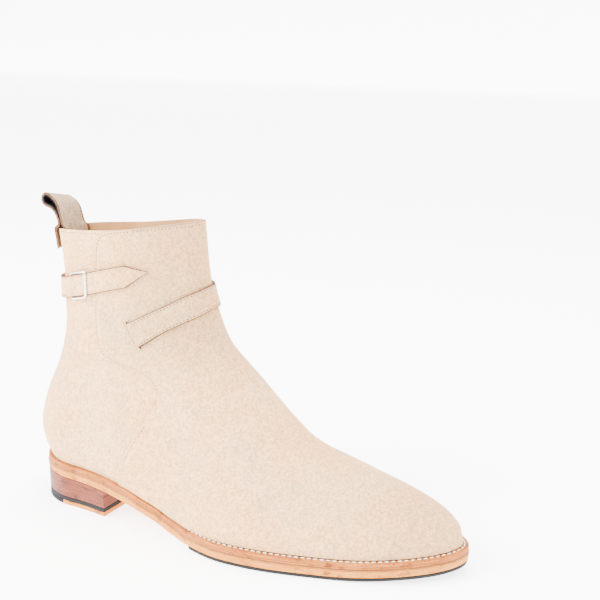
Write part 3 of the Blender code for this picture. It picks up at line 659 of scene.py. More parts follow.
class Value:
    """A shader socket that takes part in sums."""

    def __init__(self, painter: "Painter", socket: bpy.types.NodeSocket) -> None:
        """Wrap a socket of a painter's tree."""
        self.painter = painter
        self.socket = socket

    def sum(self, operation: str, first: "Number", second: "Number") -> "Value":
        """Return a Math node on two values."""
        return self.painter.node("ShaderNodeMath", {"operation": operation}, {0: first, 1: second})

    def __add__(self, other: "Number") -> "Value":
        """Return self + other."""
        return self.sum("ADD", self, other)

    def __radd__(self, other: float) -> "Value":
        """Return other + self."""
        return self.sum("ADD", other, self)

    def __sub__(self, other: "Number") -> "Value":
        """Return self - other."""
        return self.sum("SUBTRACT", self, other)

    def __rsub__(self, other: float) -> "Value":
        """Return other - self."""
        return self.sum("SUBTRACT", other, self)

    def __mul__(self, other: "Number") -> "Value":
        """Return self * other."""
        return self.sum("MULTIPLY", self, other)

    def __rmul__(self, other: float) -> "Value":
        """Return other * self."""
        return self.sum("MULTIPLY", other, self)

    def wave(self) -> "Value":
        """Return the sine of self."""
        return self.sum("SINE", self, 0.0)

    def band(self, low: float, high: float) -> "Value":
        """Return a smooth step of self, from 0 at low to 1 at high."""
        return self.painter.node(
            "ShaderNodeMapRange", {"interpolation_type": "SMOOTHSTEP"},
            {"Value": self, "From Min": low, "From Max": high})


Number = Value | float
Colour = tuple[float, float, float]


class Painter:
    """Builds the node tree of one material."""

    def __init__(self, name: str) -> None:
        """Start a material of a name."""
        self.material = bpy.data.materials.new(name)
        self.material.use_nodes = True
        self.tree = self.material.node_tree
        self.shader = self.tree.nodes["Principled BSDF"]
        self.place = self.node("ShaderNodeTexCoord", output="Object")

    def node(self, kind: str, settings: dict | None = None, inputs: dict | None = None,
             output: str | int = 0) -> Value:
        """Return one output of a new node.

        Args:
            kind: The node's type.
            settings: Properties to set first; stops are a ramp's (place, colour) pairs.
            inputs: Values or links by a socket's name or number.
            output: The name or number of the output that is wanted.

        Returns:
            The output, ready for sums.
        """
        made = self.tree.nodes.new(kind)
        for name, value in (settings or {}).items():
            if name == "stops":
                ramp = made.color_ramp
                while len(ramp.elements) < len(value):
                    ramp.elements.new(1.0)
                for element, (place, colour) in zip(ramp.elements, value):
                    element.position = place
                    element.color = (*colour, 1.0)
            else:
                setattr(made, name, value)
        for name, value in (inputs or {}).items():
            if isinstance(value, Value):
                self.tree.links.new(value.socket, made.inputs[name])
            else:
                made.inputs[name].default_value = value
        return Value(self, made.outputs[output])

    def edge(self) -> tuple[Value, Value]:
        """Return the (u, v) of the piece's own edge map, in metres."""
        where = self.node("ShaderNodeUVMap", {"uv_map": "edge"})
        apart = self.tree.nodes.new("ShaderNodeSeparateXYZ")
        self.tree.links.new(where.socket, apart.inputs[0])
        return Value(self, apart.outputs[0]), Value(self, apart.outputs[1])

    def shifted(self) -> Value:
        """Return the piece's own space, moved so that a second noise differs."""
        return self.node("ShaderNodeVectorMath", {"operation": "ADD"},
                         {0: self.place, 1: (3.7, 1.3, 5.9)})

    def axes(self) -> tuple[Value, Value, Value]:
        """Return x, y and z of the piece's own space."""
        apart = self.tree.nodes.new("ShaderNodeSeparateXYZ")
        self.tree.links.new(self.place.socket, apart.inputs[0])
        return tuple(Value(self, output) for output in apart.outputs)

    def vector(self, x: Number, y: Number, z: Number = 0.0) -> Value:
        """Return a vector of three values."""
        return self.node("ShaderNodeCombineXYZ", None, {0: x, 1: y, 2: z})

    def noise(self, scale: float, detail: float = 2.0, roughness: float = 0.5,
              where: Value | None = None) -> Value:
        """Return noise from 0 to 1 at a scale in features a metre."""
        return self.node("ShaderNodeTexNoise", {"noise_dimensions": "3D"},
                         {"Vector": where or self.place, "Scale": scale, "Detail": detail,
                          "Roughness": roughness})

    def mix(self, share: Number, first: Value | Colour, second: Value | Colour,
            way: str = "MIX") -> Value:
        """Return a colour between two, by a share from 0 to 1."""
        colours = [c if isinstance(c, Value) else (*c, 1.0) for c in (first, second)]
        return self.node("ShaderNodeMix", {"data_type": "RGBA", "blend_type": way},
                         {0: share, 6: colours[0], 7: colours[1]}, output=2)

    def shaded(self, colour: Value | Colour, light: Value) -> Value:
        """Return a colour made lighter or darker by a value round 1."""
        grey = self.node("ShaderNodeCombineColor", None, {0: light, 1: light, 2: light})
        return self.mix(1.0, colour, grey, "MULTIPLY")

    def bump(self, height: Value, depth: float, strength: float = 1.0,
             under: Value | None = None) -> Value:
        """Return a normal bumped by a height from 0 to 1 over a depth in metres."""
        inputs = {"Height": height, "Distance": depth, "Strength": strength}
        if under is not None:
            inputs["Normal"] = under
        return self.node("ShaderNodeBump", None, inputs)

    def finish(self, colour: Value | Colour, roughness: Number, normal: Value | None = None,
               constants: dict[str, float | tuple] | None = None) -> bpy.types.Material:
        """Return the material, with its sockets filled.

        Args:
            colour: Its base colour.
            roughness: Its roughness.
            normal: Its bumped normal.
            constants: Other sockets that are the same all over.

        Returns:
            The finished material.
        """
        for name, value in (("Base Color", colour), ("Roughness", roughness), ("Normal", normal)):
            if isinstance(value, Value):
                self.tree.links.new(value.socket, self.shader.inputs[name])
            elif value is not None:
                self.shader.inputs[name].default_value = (*value, 1.0) \
                    if name == "Base Color" else value
        for name, value in (constants or {}).items():
            self.shader.inputs[name].default_value = value
        return self.material


@dataclass(frozen=True)
class Suede:
    """Napped suede: mottled colour, fine grain and a soft velvet edge.

    The front of the shaft and the toe carry painted shade: each is darker by a share
    of the light, which fades in between two places of the boot.
    """

    name: str
    colour: Colour
    warm: Colour
    grey: Colour
    nap_depth: float = 0.10 * MM
    shaft_front: tuple[float, float] = (20.0 * MM, 60.0 * MM)
    shaft_foot: tuple[float, float] = (85.0 * MM, 125.0 * MM)
    # Painted shade: share of the light taken off at the front of the shaft.
    painted_shade_shaft: float = 0.24
    toe_start: tuple[float, float] = (170.0 * MM, 240.0 * MM)
    # Painted shade: share of the light taken off at the toe.
    painted_shade_toe: float = 0.12

    def material(self) -> bpy.types.Material:
        """Return the suede's material."""
        paint = Painter(self.name)
        broad = paint.noise(21.0, 3.0, 0.55)
        patches = paint.noise(55.0, 4.0, 0.6)
        strokes = paint.noise(260.0, 4.0, 0.65)
        grain = paint.noise(1300.0, 3.0, 0.7)
        specks = paint.noise(620.0, 2.0, 0.6, paint.shifted())
        base = paint.mix(broad.band(0.44, 0.62) * 0.8, self.colour, self.warm)
        base = paint.mix(patches.band(0.50, 0.70) * 0.7, base, self.grey)
        sand = grain.band(0.34, 0.66) * 0.5 + specks.band(0.38, 0.62) * 0.5
        light = 0.62 + 0.16 * strokes.band(0.36, 0.64) + 0.60 * sand
        _, y, z = paint.axes()
        # Painted shade: darken the colour at the front of the shaft and at the toe.
        painted_shade = y.band(*self.shaft_front) * z.band(*self.shaft_foot) * self.painted_shade_shaft \
            + y.band(*self.toe_start) * self.painted_shade_toe
        light = light * (1.0 - painted_shade)
        nap = grain * 0.4 + strokes * 0.3 + specks * 0.3
        return paint.finish(
            paint.shaded(base, light), 0.92, paint.bump(nap, self.nap_depth, 0.8),
            {"Sheen Weight": 0.06, "Sheen Roughness": 0.5, "Sheen Tint": (1.0, 0.9, 0.8, 1.0),
             "Specular IOR Level": 0.08})


@dataclass(frozen=True)
class CutEdge:
    """The raw edge of cut leather: darker fibres in fine layers."""

    name: str
    colour: Colour
    dark: Colour

    def material(self) -> bpy.types.Material:
        """Return the cut edge's material."""
        paint = Painter(self.name)
        fibres = paint.noise(900.0, 3.0, 0.7)
        base = paint.mix(fibres.band(0.35, 0.7), self.dark, self.colour)
        return paint.finish(base, 0.85, paint.bump(fibres, 0.08 * MM, 0.6),
                            {"Specular IOR Level": 0.1})


@dataclass(frozen=True)
class SmoothLeather:
    """Smooth lining leather: pores, soft blotches and a low gloss."""

    name: str
    colour: Colour
    dark: Colour
    roughness: float = 0.5
    coat: float = 0.1

    def material(self) -> bpy.types.Material:
        """Return the leather's material."""
        paint = Painter(self.name)
        blotches = paint.noise(40.0, 4.0, 0.6)
        pores = paint.noise(1300.0, 2.0, 0.5)
        cells = paint.node("ShaderNodeTexVoronoi", {"feature": "DISTANCE_TO_EDGE"},
                           {"Vector": paint.place, "Scale": 850.0})
        base = paint.mix(blotches.band(0.3, 0.7), self.colour, self.dark)
        base = paint.shaded(base, 0.92 + 0.14 * pores)
        grain = cells.band(0.0, 0.25) * 0.7 + pores * 0.3
        rough = self.roughness + 0.12 * blotches
        return paint.finish(base, rough, paint.bump(grain, 0.06 * MM, 0.5),
                            {"Coat Weight": self.coat, "Coat Roughness": 0.4})


@dataclass(frozen=True)
class SoleEdge:
    """The trimmed and waxed edge of sole leather, with streaks along it.

    lines are the heights of thin dark grooves in the piece's own edge map, and
    groove is how wide each one is.
    """

    name: str
    colour: Colour
    pale: Colour
    dark: Colour
    lines: tuple[float, ...] = ()
    groove: float = 0.22 * MM
    roughness: float = 0.42
    coat: float = 0.05
    shine: float = 0.15

    def material(self) -> bpy.types.Material:
        """Return the edge's material."""
        paint = Painter(self.name)
        along, up = paint.edge()
        streaks = paint.noise(1.0, 5.0, 0.68, paint.vector(along * 55.0, up * 1500.0))
        blotches = paint.noise(1.0, 3.0, 0.6, paint.vector(along * 120.0, up * 260.0, 3.0))
        fine = paint.noise(1.0, 3.0, 0.7, paint.vector(along * 900.0, up * 2600.0, 7.0))
        base = paint.mix(streaks.band(0.40, 0.66), self.colour, self.pale)
        base = paint.mix(blotches.band(0.50, 0.70) * 0.85, base, self.dark)
        depth = streaks * 0.5 + fine * 0.5
        for line in self.lines:
            distance = paint.node("ShaderNodeMath", {"operation": "ABSOLUTE"}, {0: up - line})
            mark = 1.0 - distance.band(self.groove * 0.3, self.groove)
            base = paint.mix(mark * 0.8, base, self.dark)
            depth = depth - mark
        light = 0.72 + 0.50 * fine.band(0.34, 0.66)
        return paint.finish(
            paint.shaded(base, light), self.roughness + 0.2 * blotches,
            paint.bump(depth, 0.10 * MM, 0.6),
            {"Coat Weight": self.coat, "Coat Roughness": 0.28,
             "Specular IOR Level": self.shine})


@dataclass(frozen=True)
class Rubber:
    """Black rubber with a fine moulded skin."""

    name: str
    colour: Colour

    def material(self) -> bpy.types.Material:
        """Return the rubber's material."""
        paint = Painter(self.name)
        skin = paint.noise(1800.0, 2.0, 0.6)
        dust = paint.noise(120.0, 4.0, 0.6)
        base = paint.shaded(self.colour, 0.8 + 0.5 * dust)
        return paint.finish(base, 0.62 + 0.16 * dust, paint.bump(skin, 0.05 * MM, 0.6),
                            {"Specular IOR Level": 0.12})


@dataclass(frozen=True)
class Steel:
    """Polished steel with faint hairlines."""

    name: str
    colour: Colour

    def material(self) -> bpy.types.Material:
        """Return the steel's material."""
        paint = Painter(self.name)
        x, y, z = paint.axes()
        lines = paint.noise(1.0, 3.0, 0.6, paint.vector(x * 3000.0, y * 3000.0, z * 250.0))
        return paint.finish(self.colour, 0.14 + 0.12 * lines, paint.bump(lines, 0.01 * MM, 0.3),
                            {"Metallic": 1.0})


@dataclass(frozen=True)
class Woven:
    """Dark tape woven in fine ribs."""

    name: str
    colour: Colour

    def material(self) -> bpy.types.Material:
        """Return the tape's material."""
        paint = Painter(self.name)
        along, up = paint.edge()
        ribs = (along * 9000.0).wave() * (up * 9000.0).wave() * 0.5 + 0.5
        fuzz = paint.noise(1400.0, 2.0, 0.6)
        base = paint.shaded(self.colour, 0.6 + 0.5 * ribs + 0.3 * fuzz)
        return paint.finish(base, 0.9, paint.bump(ribs, 0.10 * MM, 0.7),
                            {"Specular IOR Level": 0.1})


@dataclass(frozen=True)
class Thread:
    """Twisted sewing thread."""

    name: str
    colour: Colour
    dark: Colour

    def material(self) -> bpy.types.Material:
        """Return the thread's material."""
        paint = Painter(self.name)
        twist = paint.noise(2400.0, 2.0, 0.5)
        return paint.finish(paint.mix(twist.band(0.3, 0.7), self.dark, self.colour), 0.75,
                            paint.bump(twist, 0.04 * MM, 0.5))


class Looks(Enum):
    """The finishes of the boot."""

    SUEDE = Suede("sand_suede", (0.575, 0.350, 0.170), (0.605, 0.320, 0.135),
                  (0.450, 0.305, 0.165))
    LOOP_SUEDE = Suede("loop_suede", (0.320, 0.220, 0.135), (0.350, 0.215, 0.120),
                       (0.260, 0.190, 0.125))
    SUEDE_EDGE = CutEdge("suede_cut_edge", (0.150, 0.070, 0.034), (0.050, 0.022, 0.011))
    SUEDE_FOLD = CutEdge("suede_pale_edge", (0.480, 0.320, 0.180), (0.270, 0.170, 0.095))
    LINING = SmoothLeather("tan_lining", (0.520, 0.260, 0.090), (0.420, 0.190, 0.060))
    WELT = SoleEdge("tan_welt", (0.290, 0.078, 0.010), (0.420, 0.150, 0.030),
                    (0.100, 0.022, 0.006), lines=(0.4 * MM, 1.6 * MM), coat=0.0, shine=0.08)
    OUTSOLE = SoleEdge("sole_edge", (0.450, 0.140, 0.010), (0.560, 0.240, 0.045),
                       (0.170, 0.042, 0.010), lines=(4.3 * MM,), coat=0.0, shine=0.08)
    SOLE_LEATHER = SmoothLeather("natural_sole_leather", (0.600, 0.330, 0.140),
                                 (0.500, 0.250, 0.100), 0.45, 0.2)
    STACK = SoleEdge("stacked_heel_leather", (0.100, 0.016, 0.005), (0.190, 0.045, 0.016),
                     (0.030, 0.006, 0.003),
                     lines=(2.4 * MM, 5.6 * MM, 8.8 * MM), groove=0.16 * MM)
    RUBBER = Rubber("black_rubber", (0.010, 0.010, 0.011))
    STEEL = Steel("polished_steel", (0.72, 0.71, 0.69))
    TAPE = Woven("black_tape", (0.006, 0.006, 0.007))
    SUEDE_THREAD = Thread("suede_thread", (0.560, 0.370, 0.200), (0.340, 0.200, 0.100))
    WELT_THREAD = Thread("welt_thread", (0.860, 0.820, 0.760), (0.620, 0.540, 0.450))
    # Painted shade: a very dark finish for beads and strips that stand for the shade in needle
    # holes, the strap's hole and its slot.
    HOLE_SHADE = CutEdge("painted_hole_shade", (0.060, 0.028, 0.014), (0.024, 0.012, 0.007))

    @property
    def material(self) -> bpy.types.Material:
        """Return the finish's material, made once."""
        found = bpy.data.materials.get(self.value.name)
        return found or self.value.material()


def slab(name: str, outer: Points, inner: Points, looks: tuple[Looks, Looks, Looks],
         closed: bool = False, trim: int = 0) -> bpy.types.Object:
    """Return a closed wall between two grids of points.

    Args:
        name: The piece's name.
        outer: The outer face, rows by columns.
        inner: The inner face, with as many points.
        looks: The finishes of the outer face, the inner face and the cut edges.
        closed: Whether each row closes on itself.
        trim: How many outer bands beside the cut edges share their finish.

    Returns:
        The piece.
    """
    rows, columns = outer.shape[:2]
    points = np.concatenate([outer.reshape(-1, 3), inner.reshape(-1, 3)])
    front = strips(rows, columns, False, closed)
    half = rows * columns
    back = [tuple(half + i for i in face[::-1]) for face in front]
    rim = []
    loops = [[(0, j) for j in range(columns)], [(rows - 1, j) for j in range(columns)]]
    if closed:
        loops = [loop + loop[:1] for loop in loops]
    else:
        loops += [[(i, 0) for i in range(rows)], [(i, columns - 1) for i in range(rows)]]
    for loop in loops:
        numbers = [i * columns + j for i, j in loop]
        for a, b in zip(numbers, numbers[1:]):
            rim.append((a, b, half + b, half + a))
    rows_uv, columns_uv = travel(outer[:, columns // 2]), travel(outer[rows // 2])
    flat = np.stack(np.meshgrid(rows_uv, columns_uv, indexing="ij"), -1).reshape(-1, 2)
    across = [j for _ in range(rows - 1) for j in range(columns if closed else columns - 1)]
    edged = [not closed and (j < trim or j > columns - 2 - trim) for j in across]
    kinds = [2 * here for here in edged] + [1] * len(back) + [2] * len(rim)
    return make_object(name, points, front + back + rim, [look.material for look in looks],
                       kinds, np.concatenate([flat, flat]))


def apply_boolean(thing: bpy.types.Object, cutter: bpy.types.Object) -> None:
    """Cut one piece by another, which is then removed."""
    step = thing.modifiers.new("cut", "BOOLEAN")
    step.operation = "DIFFERENCE"
    step.solver = "EXACT"
    step.object = cutter
    shape = bpy.data.meshes.new_from_object(
        thing.evaluated_get(bpy.context.evaluated_depsgraph_get()))
    thing.modifiers.clear()
    thing.data = shape
    bpy.data.objects.remove(cutter)
    shade(thing)


@dataclass
class Upper:
    """The upper: back piece, front piece laid over it, and their stitches."""

    ring_steps: int = 260
    level_steps: int = 110
    seam_steps: int = 190
    front_steps: int = 72
    tuck: float = 0.35 * MM
    moon_tuck: float = 1.5 * MM
    moon_top: float = 0.57
    row_inset: float = 1.4 * MM
    second_inset: float = 3.4 * MM
    second_top: float = 68.0 * MM
    collar_inset: float = 2.0 * MM
    moon_rows_back: tuple[float, float] = (1.4 * MM, 3.2 * MM)

    def surface(self, turn: Points, rise: Points, out: Points) -> Points:
        """Return a point of the creased upper at a distance out from the last."""
        base = LAST.point(turn, rise)
        return base + LAST.normal(turn, rise) * (relief(base) + out)[..., None]

    def seam(self, side: int, count: int) -> Points:
        """Return the front piece's rear edge on one side, as (turn, rise) rows.

        Args:
            side: 1 outside and -1 inside.
            count: How many rows are wanted.

        Returns:
            The rows, from the collar down to the feather line.
        """
        y, z = spline([LAST.seam_place(point) for point in FRONT_PIECE_EDGE], 16).T
        s = y + LAST.heel_centre
        on_boot = (z < LAST.collar_height(s)) & (z > LAST.feather_height(s))
        turn, rise = LAST.place(y[on_boot], z[on_boot], side)
        turn = np.concatenate([turn[:1], turn, turn[-1:]])
        rise = np.concatenate([[1.0], rise, [0.0]])
        far = travel(LAST.point(turn, rise))
        places = np.linspace(0, far[-1], count)
        return np.stack([np.interp(places, far, turn), np.interp(places, far, rise)], -1)

    def inset(self, line: Points, distance: float, side: int) -> Points:
        """Return a line of (turn, rise) rows moved forward, square to itself.

        Args:
            line: The line's rows.
            distance: How far it moves, in metres.
            side: 1 outside and -1 inside.

        Returns:
            The moved line's rows.
        """
        turn, rise = line.T
        step = 0.002
        by_turn = (LAST.point(turn + step, rise) - LAST.point(turn - step, rise)) / (2 * step)
        low, high = np.clip(rise - step, 0, 1), np.clip(rise + step, 0, 1)
        by_rise = (LAST.point(turn, high) - LAST.point(turn, low)) / (high - low)[:, None]
        along = np.gradient(LAST.point(turn, rise), axis=0)
        square = unit(np.cross(LAST.normal(turn, rise), along)) * distance * side
        across = np.stack([by_turn, by_rise], -1)
        moved = np.array([np.linalg.lstsq(a, b, rcond=None)[0] for a, b in zip(across, square)])
        return np.stack([turn + moved[:, 0], np.clip(rise + moved[:, 1], 0, 1)], -1)

    def build_back(self) -> bpy.types.Object:
        """Return the back piece with its lining and the half-moon opening."""
        turns = np.arange(self.ring_steps) / self.ring_steps
        turns = turns[None, :]
        levels = LAST.rises(0.0, 1.0, self.level_steps)[:, None]
        outer = self.surface(turns, levels, 0 * turns * levels)
        inner = self.surface(turns, levels, 0 * turns * levels - LAST.wall)
        back = slab("upper_back_piece", outer, inner,
                    (Looks.SUEDE, Looks.LINING, Looks.SUEDE_FOLD), closed=True)
        edge = spline([LAST.seam_place(point) for point in FRONT_PIECE_EDGE], 6)
        foot, middle, top = (LAST.seam_place(point) for point in HALF_MOON)
        outline = [(y + self.moon_tuck, z) for y, z in edge
                   if foot[1] < z < self.moon_top * LAST.collar_back_height and y > top[0]]
        behind = spline([outline[-1], foot, middle, top, outline[0]], 6)[1:-1]
        outline += [tuple(point) for point in behind]
        sections = [[(x, y, z) for y, z in outline] for x in (-LAST.ball_width, 0.0)]
        cutter = make_object("half_moon", sections,
                             strips(2, len(outline), False, True, cap_ends=True),
                             [Looks.SUEDE_EDGE.material])
        apply_boolean(back, cutter)
        return back

    def build_front(self) -> bpy.types.Object:
        """Return the front piece, its rear edges rolled down on the back piece."""
        roll = ((0.0, -self.tuck), (0.0, 0.30 * LAST.overlay), (0.08 * MM, 0.70 * LAST.overlay),
                (0.25 * MM, 0.92 * LAST.overlay), (0.6 * MM, LAST.overlay),
                (1.2 * MM, LAST.overlay))
        share = np.linspace(0, 1, 800)
        far = travel(LAST.point(0.5, 1 - share))
        down = np.linspace(0, far[-1], self.seam_steps)
        front_rise = np.interp(down, far, 1 - share)
        halves = []
        for side in (1, -1):
            seam = self.seam(side, self.seam_steps)
            places = [seam if distance == 0 else self.inset(seam, distance, side)
                      for distance, _ in roll]
            lifts = [np.full(len(seam), out) for _, out in roll]
            start = places[-1]
            for step in np.linspace(0, 1, self.front_steps + 1)[1:]:
                turn = start[:, 0] + (0.5 - start[:, 0]) * step
                rise = start[:, 1] + (front_rise - start[:, 1]) * step
                places.append(np.stack([turn, rise], -1))
                lifts.append(np.full(len(seam), LAST.overlay))
            halves.append((np.stack(places, 1), np.stack(lifts, 1)))
        (outer_place, outer_lift), (inner_place, inner_lift) = halves
        place = np.concatenate([outer_place, inner_place[:, -2::-1]], 1)
        lift = np.concatenate([outer_lift, inner_lift[:, -2::-1]], 1)
        turn, rise = place[..., 0], np.clip(place[..., 1], 0.002, 0.998)
        outer = self.surface(turn, rise, lift)
        inner = self.surface(turn, rise, 0 * lift - self.tuck - 0.05 * MM)
        # The lowest band of the rolled rim is part of the cut edge and takes its dark finish, which
        # also serves as a painted shadow line along the seam.
        return slab("upper_front_piece", outer, inner,
                    (Looks.SUEDE, Looks.SUEDE, Looks.SUEDE_EDGE), trim=1)

    def row(self, places: Points, out: float) -> "StitchRow":
        """Return a stitch row along (turn, rise) places at a distance out."""
        turn, rise = places.T
        return StitchRow(self.surface(turn, rise, 0 * turn + out), LAST.normal(turn, rise))

    def side_row(self, points: Sequence[Sequence[float]], side: int, out: float) -> "StitchRow":
        """Return a stitch row through (along, height) points of one side, in metres.

        Args:
            points: The places, along the last and up from the floor.
            side: 1 outside and -1 inside.
            out: A distance over the last.

        Returns:
            The row.
        """
        along, height = np.asarray(points, float).T
        turn, rise = LAST.place(along - LAST.heel_centre, height, side)
        return self.row(np.stack([turn, rise], -1), out)

    def seam_rows(self) -> list["StitchRow"]:
        """Return the rows along the front piece's edges and the second row below."""
        rows = []
        for side in (1, -1):
            seam = self.seam(side, self.seam_steps)[2:-2]
            near = self.inset(seam, self.row_inset, side)
            rows.append(self.row(near, LAST.overlay))
            second = self.inset(seam, self.second_inset, side)
            low = LAST.point(*second.T)[:, 2] < self.second_top
            rows.append(self.row(second[low], LAST.overlay))
        return rows

    def collar_rows(self) -> list["StitchRow"]:
        """Return the rows round the collar, on the back piece and the front piece."""
        outer, inner = (self.seam(side, self.seam_steps)[0, 0] for side in (1, -1))
        rise = 1 - self.collar_inset / LAST.collar_back_height
        back = np.linspace(inner - 1, outer, 160)
        front = np.linspace(outer, inner, 160)
        return [self.row(np.stack([turns, 0 * turns + rise], -1), out)
                for turns, out in ((back, 0.0), (front, LAST.overlay))]

    def slot_rows(self) -> list["StitchRow"]:
        """Return the two rows round the strap's slot."""
        return [self.side_row([(s * MM, z * MM) for s, z in row], 1, LAST.overlay)
                for row in (SLOT_OUTER, SLOT_INNER)]

    def moon_rows(self) -> list["StitchRow"]:
        """Return the two rows behind the half-moon opening."""
        rows = []
        for back in self.moon_rows_back:
            line = spline([LAST.seam_place(point) for point in HALF_MOON], 12)
            places = [(y + LAST.heel_centre - back, z) for y, z in line]
            rows.append(self.side_row(places, -1, 0.0))
        return rows

    def build(self) -> None:
        """Build both pieces and their stitches."""
        keep(self.build_back(), "suede", "upper")
        keep(self.build_front(), "suede", "upper")
        rows = self.seam_rows() + self.collar_rows() + self.slot_rows() + self.moon_rows()
        sew("upper_stitches", rows, "suede")


@dataclass
class Strap:
    """The ankle strap."""

    thickness: float = 1.6 * MM
    hole: float = 2.2 * MM
    shoulder_turn: float = 1.276
    tip_across: float = 0.52
    tip_blunt: float = 0.06
    hole_turn: float = 1.152
    steps: int = 300
    width: float = 13.7 * MM
    row_inset: float = 1.3 * MM
    cross_rows: tuple[float, float] = (28.0 * MM, 34.4 * MM)
    cross_steps: int = 24
    # Width of the dark strip painted as the shadow in the strap's slot.
    slot_shadow: float = 1.3 * MM

    def point(self, turn: float, across: Points, out: Points) -> Points:
        """Return points across the strap.

        Args:
            turn: The turn of its upper edge.
            across: 0 at its lower edge and 1 at its upper edge.
            out: A distance over its inner face.

        Returns:
            The points.
        """
        end = STRAP_PATH[-1].top_turn
        narrowing = max((end - turn) / (end - self.shoulder_turn), self.tip_blunt)
        across = np.asarray(across, float)
        if narrowing < 1:
            across = self.tip_across + (across - self.tip_across) * narrowing
        bottom_turn = STRAP["bottom_turn"](turn)
        place = bottom_turn + (turn - bottom_turn) * across
        low, high = STRAP["bottom"](turn), STRAP["top"](turn)
        height = (low + (high - low) * across) * LAST.collar_back_height
        rise = np.array([LAST.rise_at(np.mod(p, 1.0), h) for p, h in zip(place, height)])
        return LAST.offset(place, rise, STRAP["lift"](turn) + np.asarray(out))

    def build(self) -> None:
        """Build the strap with rounded edges and its punched hole."""
        first, last = STRAP_PATH[0].top_turn, STRAP_PATH[-1].top_turn
        across = np.array([0.0, 0.012, 0.04, 0.10, 0.2, 0.35, 0.5,
                           0.65, 0.8, 0.90, 0.96, 0.988, 1.0])
        crown = self.thickness * np.array([0.80, 0.93, 0.99, 0.94, 1.0, 1.02, 1.03,
                                           1.02, 1.0, 0.94, 0.99, 0.93, 0.80])
        turns = np.linspace(first, last, self.steps)
        outer = np.stack([self.point(turn, across, crown) for turn in turns])
        inner = np.stack([self.point(turn, across, 0 * crown) for turn in turns])
        strap = slab("ankle_strap", outer, inner,
                     (Looks.SUEDE, Looks.SUEDE, Looks.SUEDE_EDGE), trim=2)
        middle = self.point(self.hole_turn, [0.5], [0.0])[0]
        outward = unit(self.point(self.hole_turn, [0.5], [self.thickness])[0] - middle)
        rod = tube("strap_hole", [middle - outward * 2 * self.thickness,
                                  middle + outward * 3 * self.thickness],
                   self.hole / 2, 32, False, Looks.HOLE_SHADE)
        apply_boolean(strap, rod)
        keep(strap, "suede", "strap")
        self.build_stitches(turns)
        self.build_slot_shadow()

    def row(self, turns: Points, across: Points) -> "StitchRow":
        """Return a stitch row through places of the strap."""
        low = np.array([self.point(turn, [a], [self.thickness])[0]
                        for turn, a in zip(turns, across)])
        high = np.array([self.point(turn, [a], [2 * self.thickness])[0]
                         for turn, a in zip(turns, across)])
        return StitchRow(low, unit(high - low))

    def build_stitches(self, turns: Points) -> None:
        """Sew the strap's two edges and the two cross rows at the buckle."""
        share = self.row_inset / self.width
        inner = turns[(turns > turns[0] + 0.004) & (turns < turns[-1] - 0.004)]
        rows = [self.row(inner, np.full(len(inner), share)),
                self.row(inner, np.full(len(inner), 1 - share))]
        near = np.linspace(1.08, 1.20, 200)
        forward = np.array([self.point(turn, [0.5], [0.0])[0, 1] for turn in near])
        across = np.linspace(share, 1 - share, self.cross_steps)
        for along in self.cross_rows:
            turn = float(np.interp(along - LAST.heel_centre, forward, near))
            rows.append(self.row(np.full(self.cross_steps, turn), across))
        sew("strap_stitches", rows, "suede")

    def build_slot_shadow(self) -> None:
        """Build a dark strip, a painted shadow in the slot from which the strap comes."""
        first = STRAP_PATH[0].top_turn
        across = np.linspace(-0.04, 1.04, 12)
        path = self.point(first - 0.0022, across, 0 * across - SEAT + 0.1 * MM)
        keep(tube("strap_slot_shadow", path, self.slot_shadow / 2, 10, False, Looks.HOLE_SHADE), "suede")


def tube(name: str, path: Sequence[Points], radius: float, sides: int, closed: bool,
         look: Looks) -> bpy.types.Object:
    """Return a round bar along a path.

    Args:
        name: The piece's name.
        path: The points of its middle line.
        radius: Its radius.
        sides: How many sides it has.
        closed: Whether its end meets its start.
        look: Its finish.

    Returns:
        The bar.
    """
    path = np.asarray(path, float)
    if closed:
        heading = np.roll(path, -1, 0) - np.roll(path, 1, 0)
    else:
        heading = np.gradient(path, axis=0)
    heading = unit(heading)
    side = np.cross(heading[0], np.eye(3)[np.argmin(np.abs(heading[0]))])
    angles = np.arange(sides) * 2 * np.pi / sides
    rings = []
    for place, along in zip(path, heading):
        side = unit(side - along * (side @ along))
        other = np.cross(along, side)
        rings.append(place + radius * (np.cos(angles)[:, None] * side
                                       + np.sin(angles)[:, None] * other))
    return make_object(name, np.array(rings), strips(len(path), sides, closed, True, not closed),
                       [look.material])


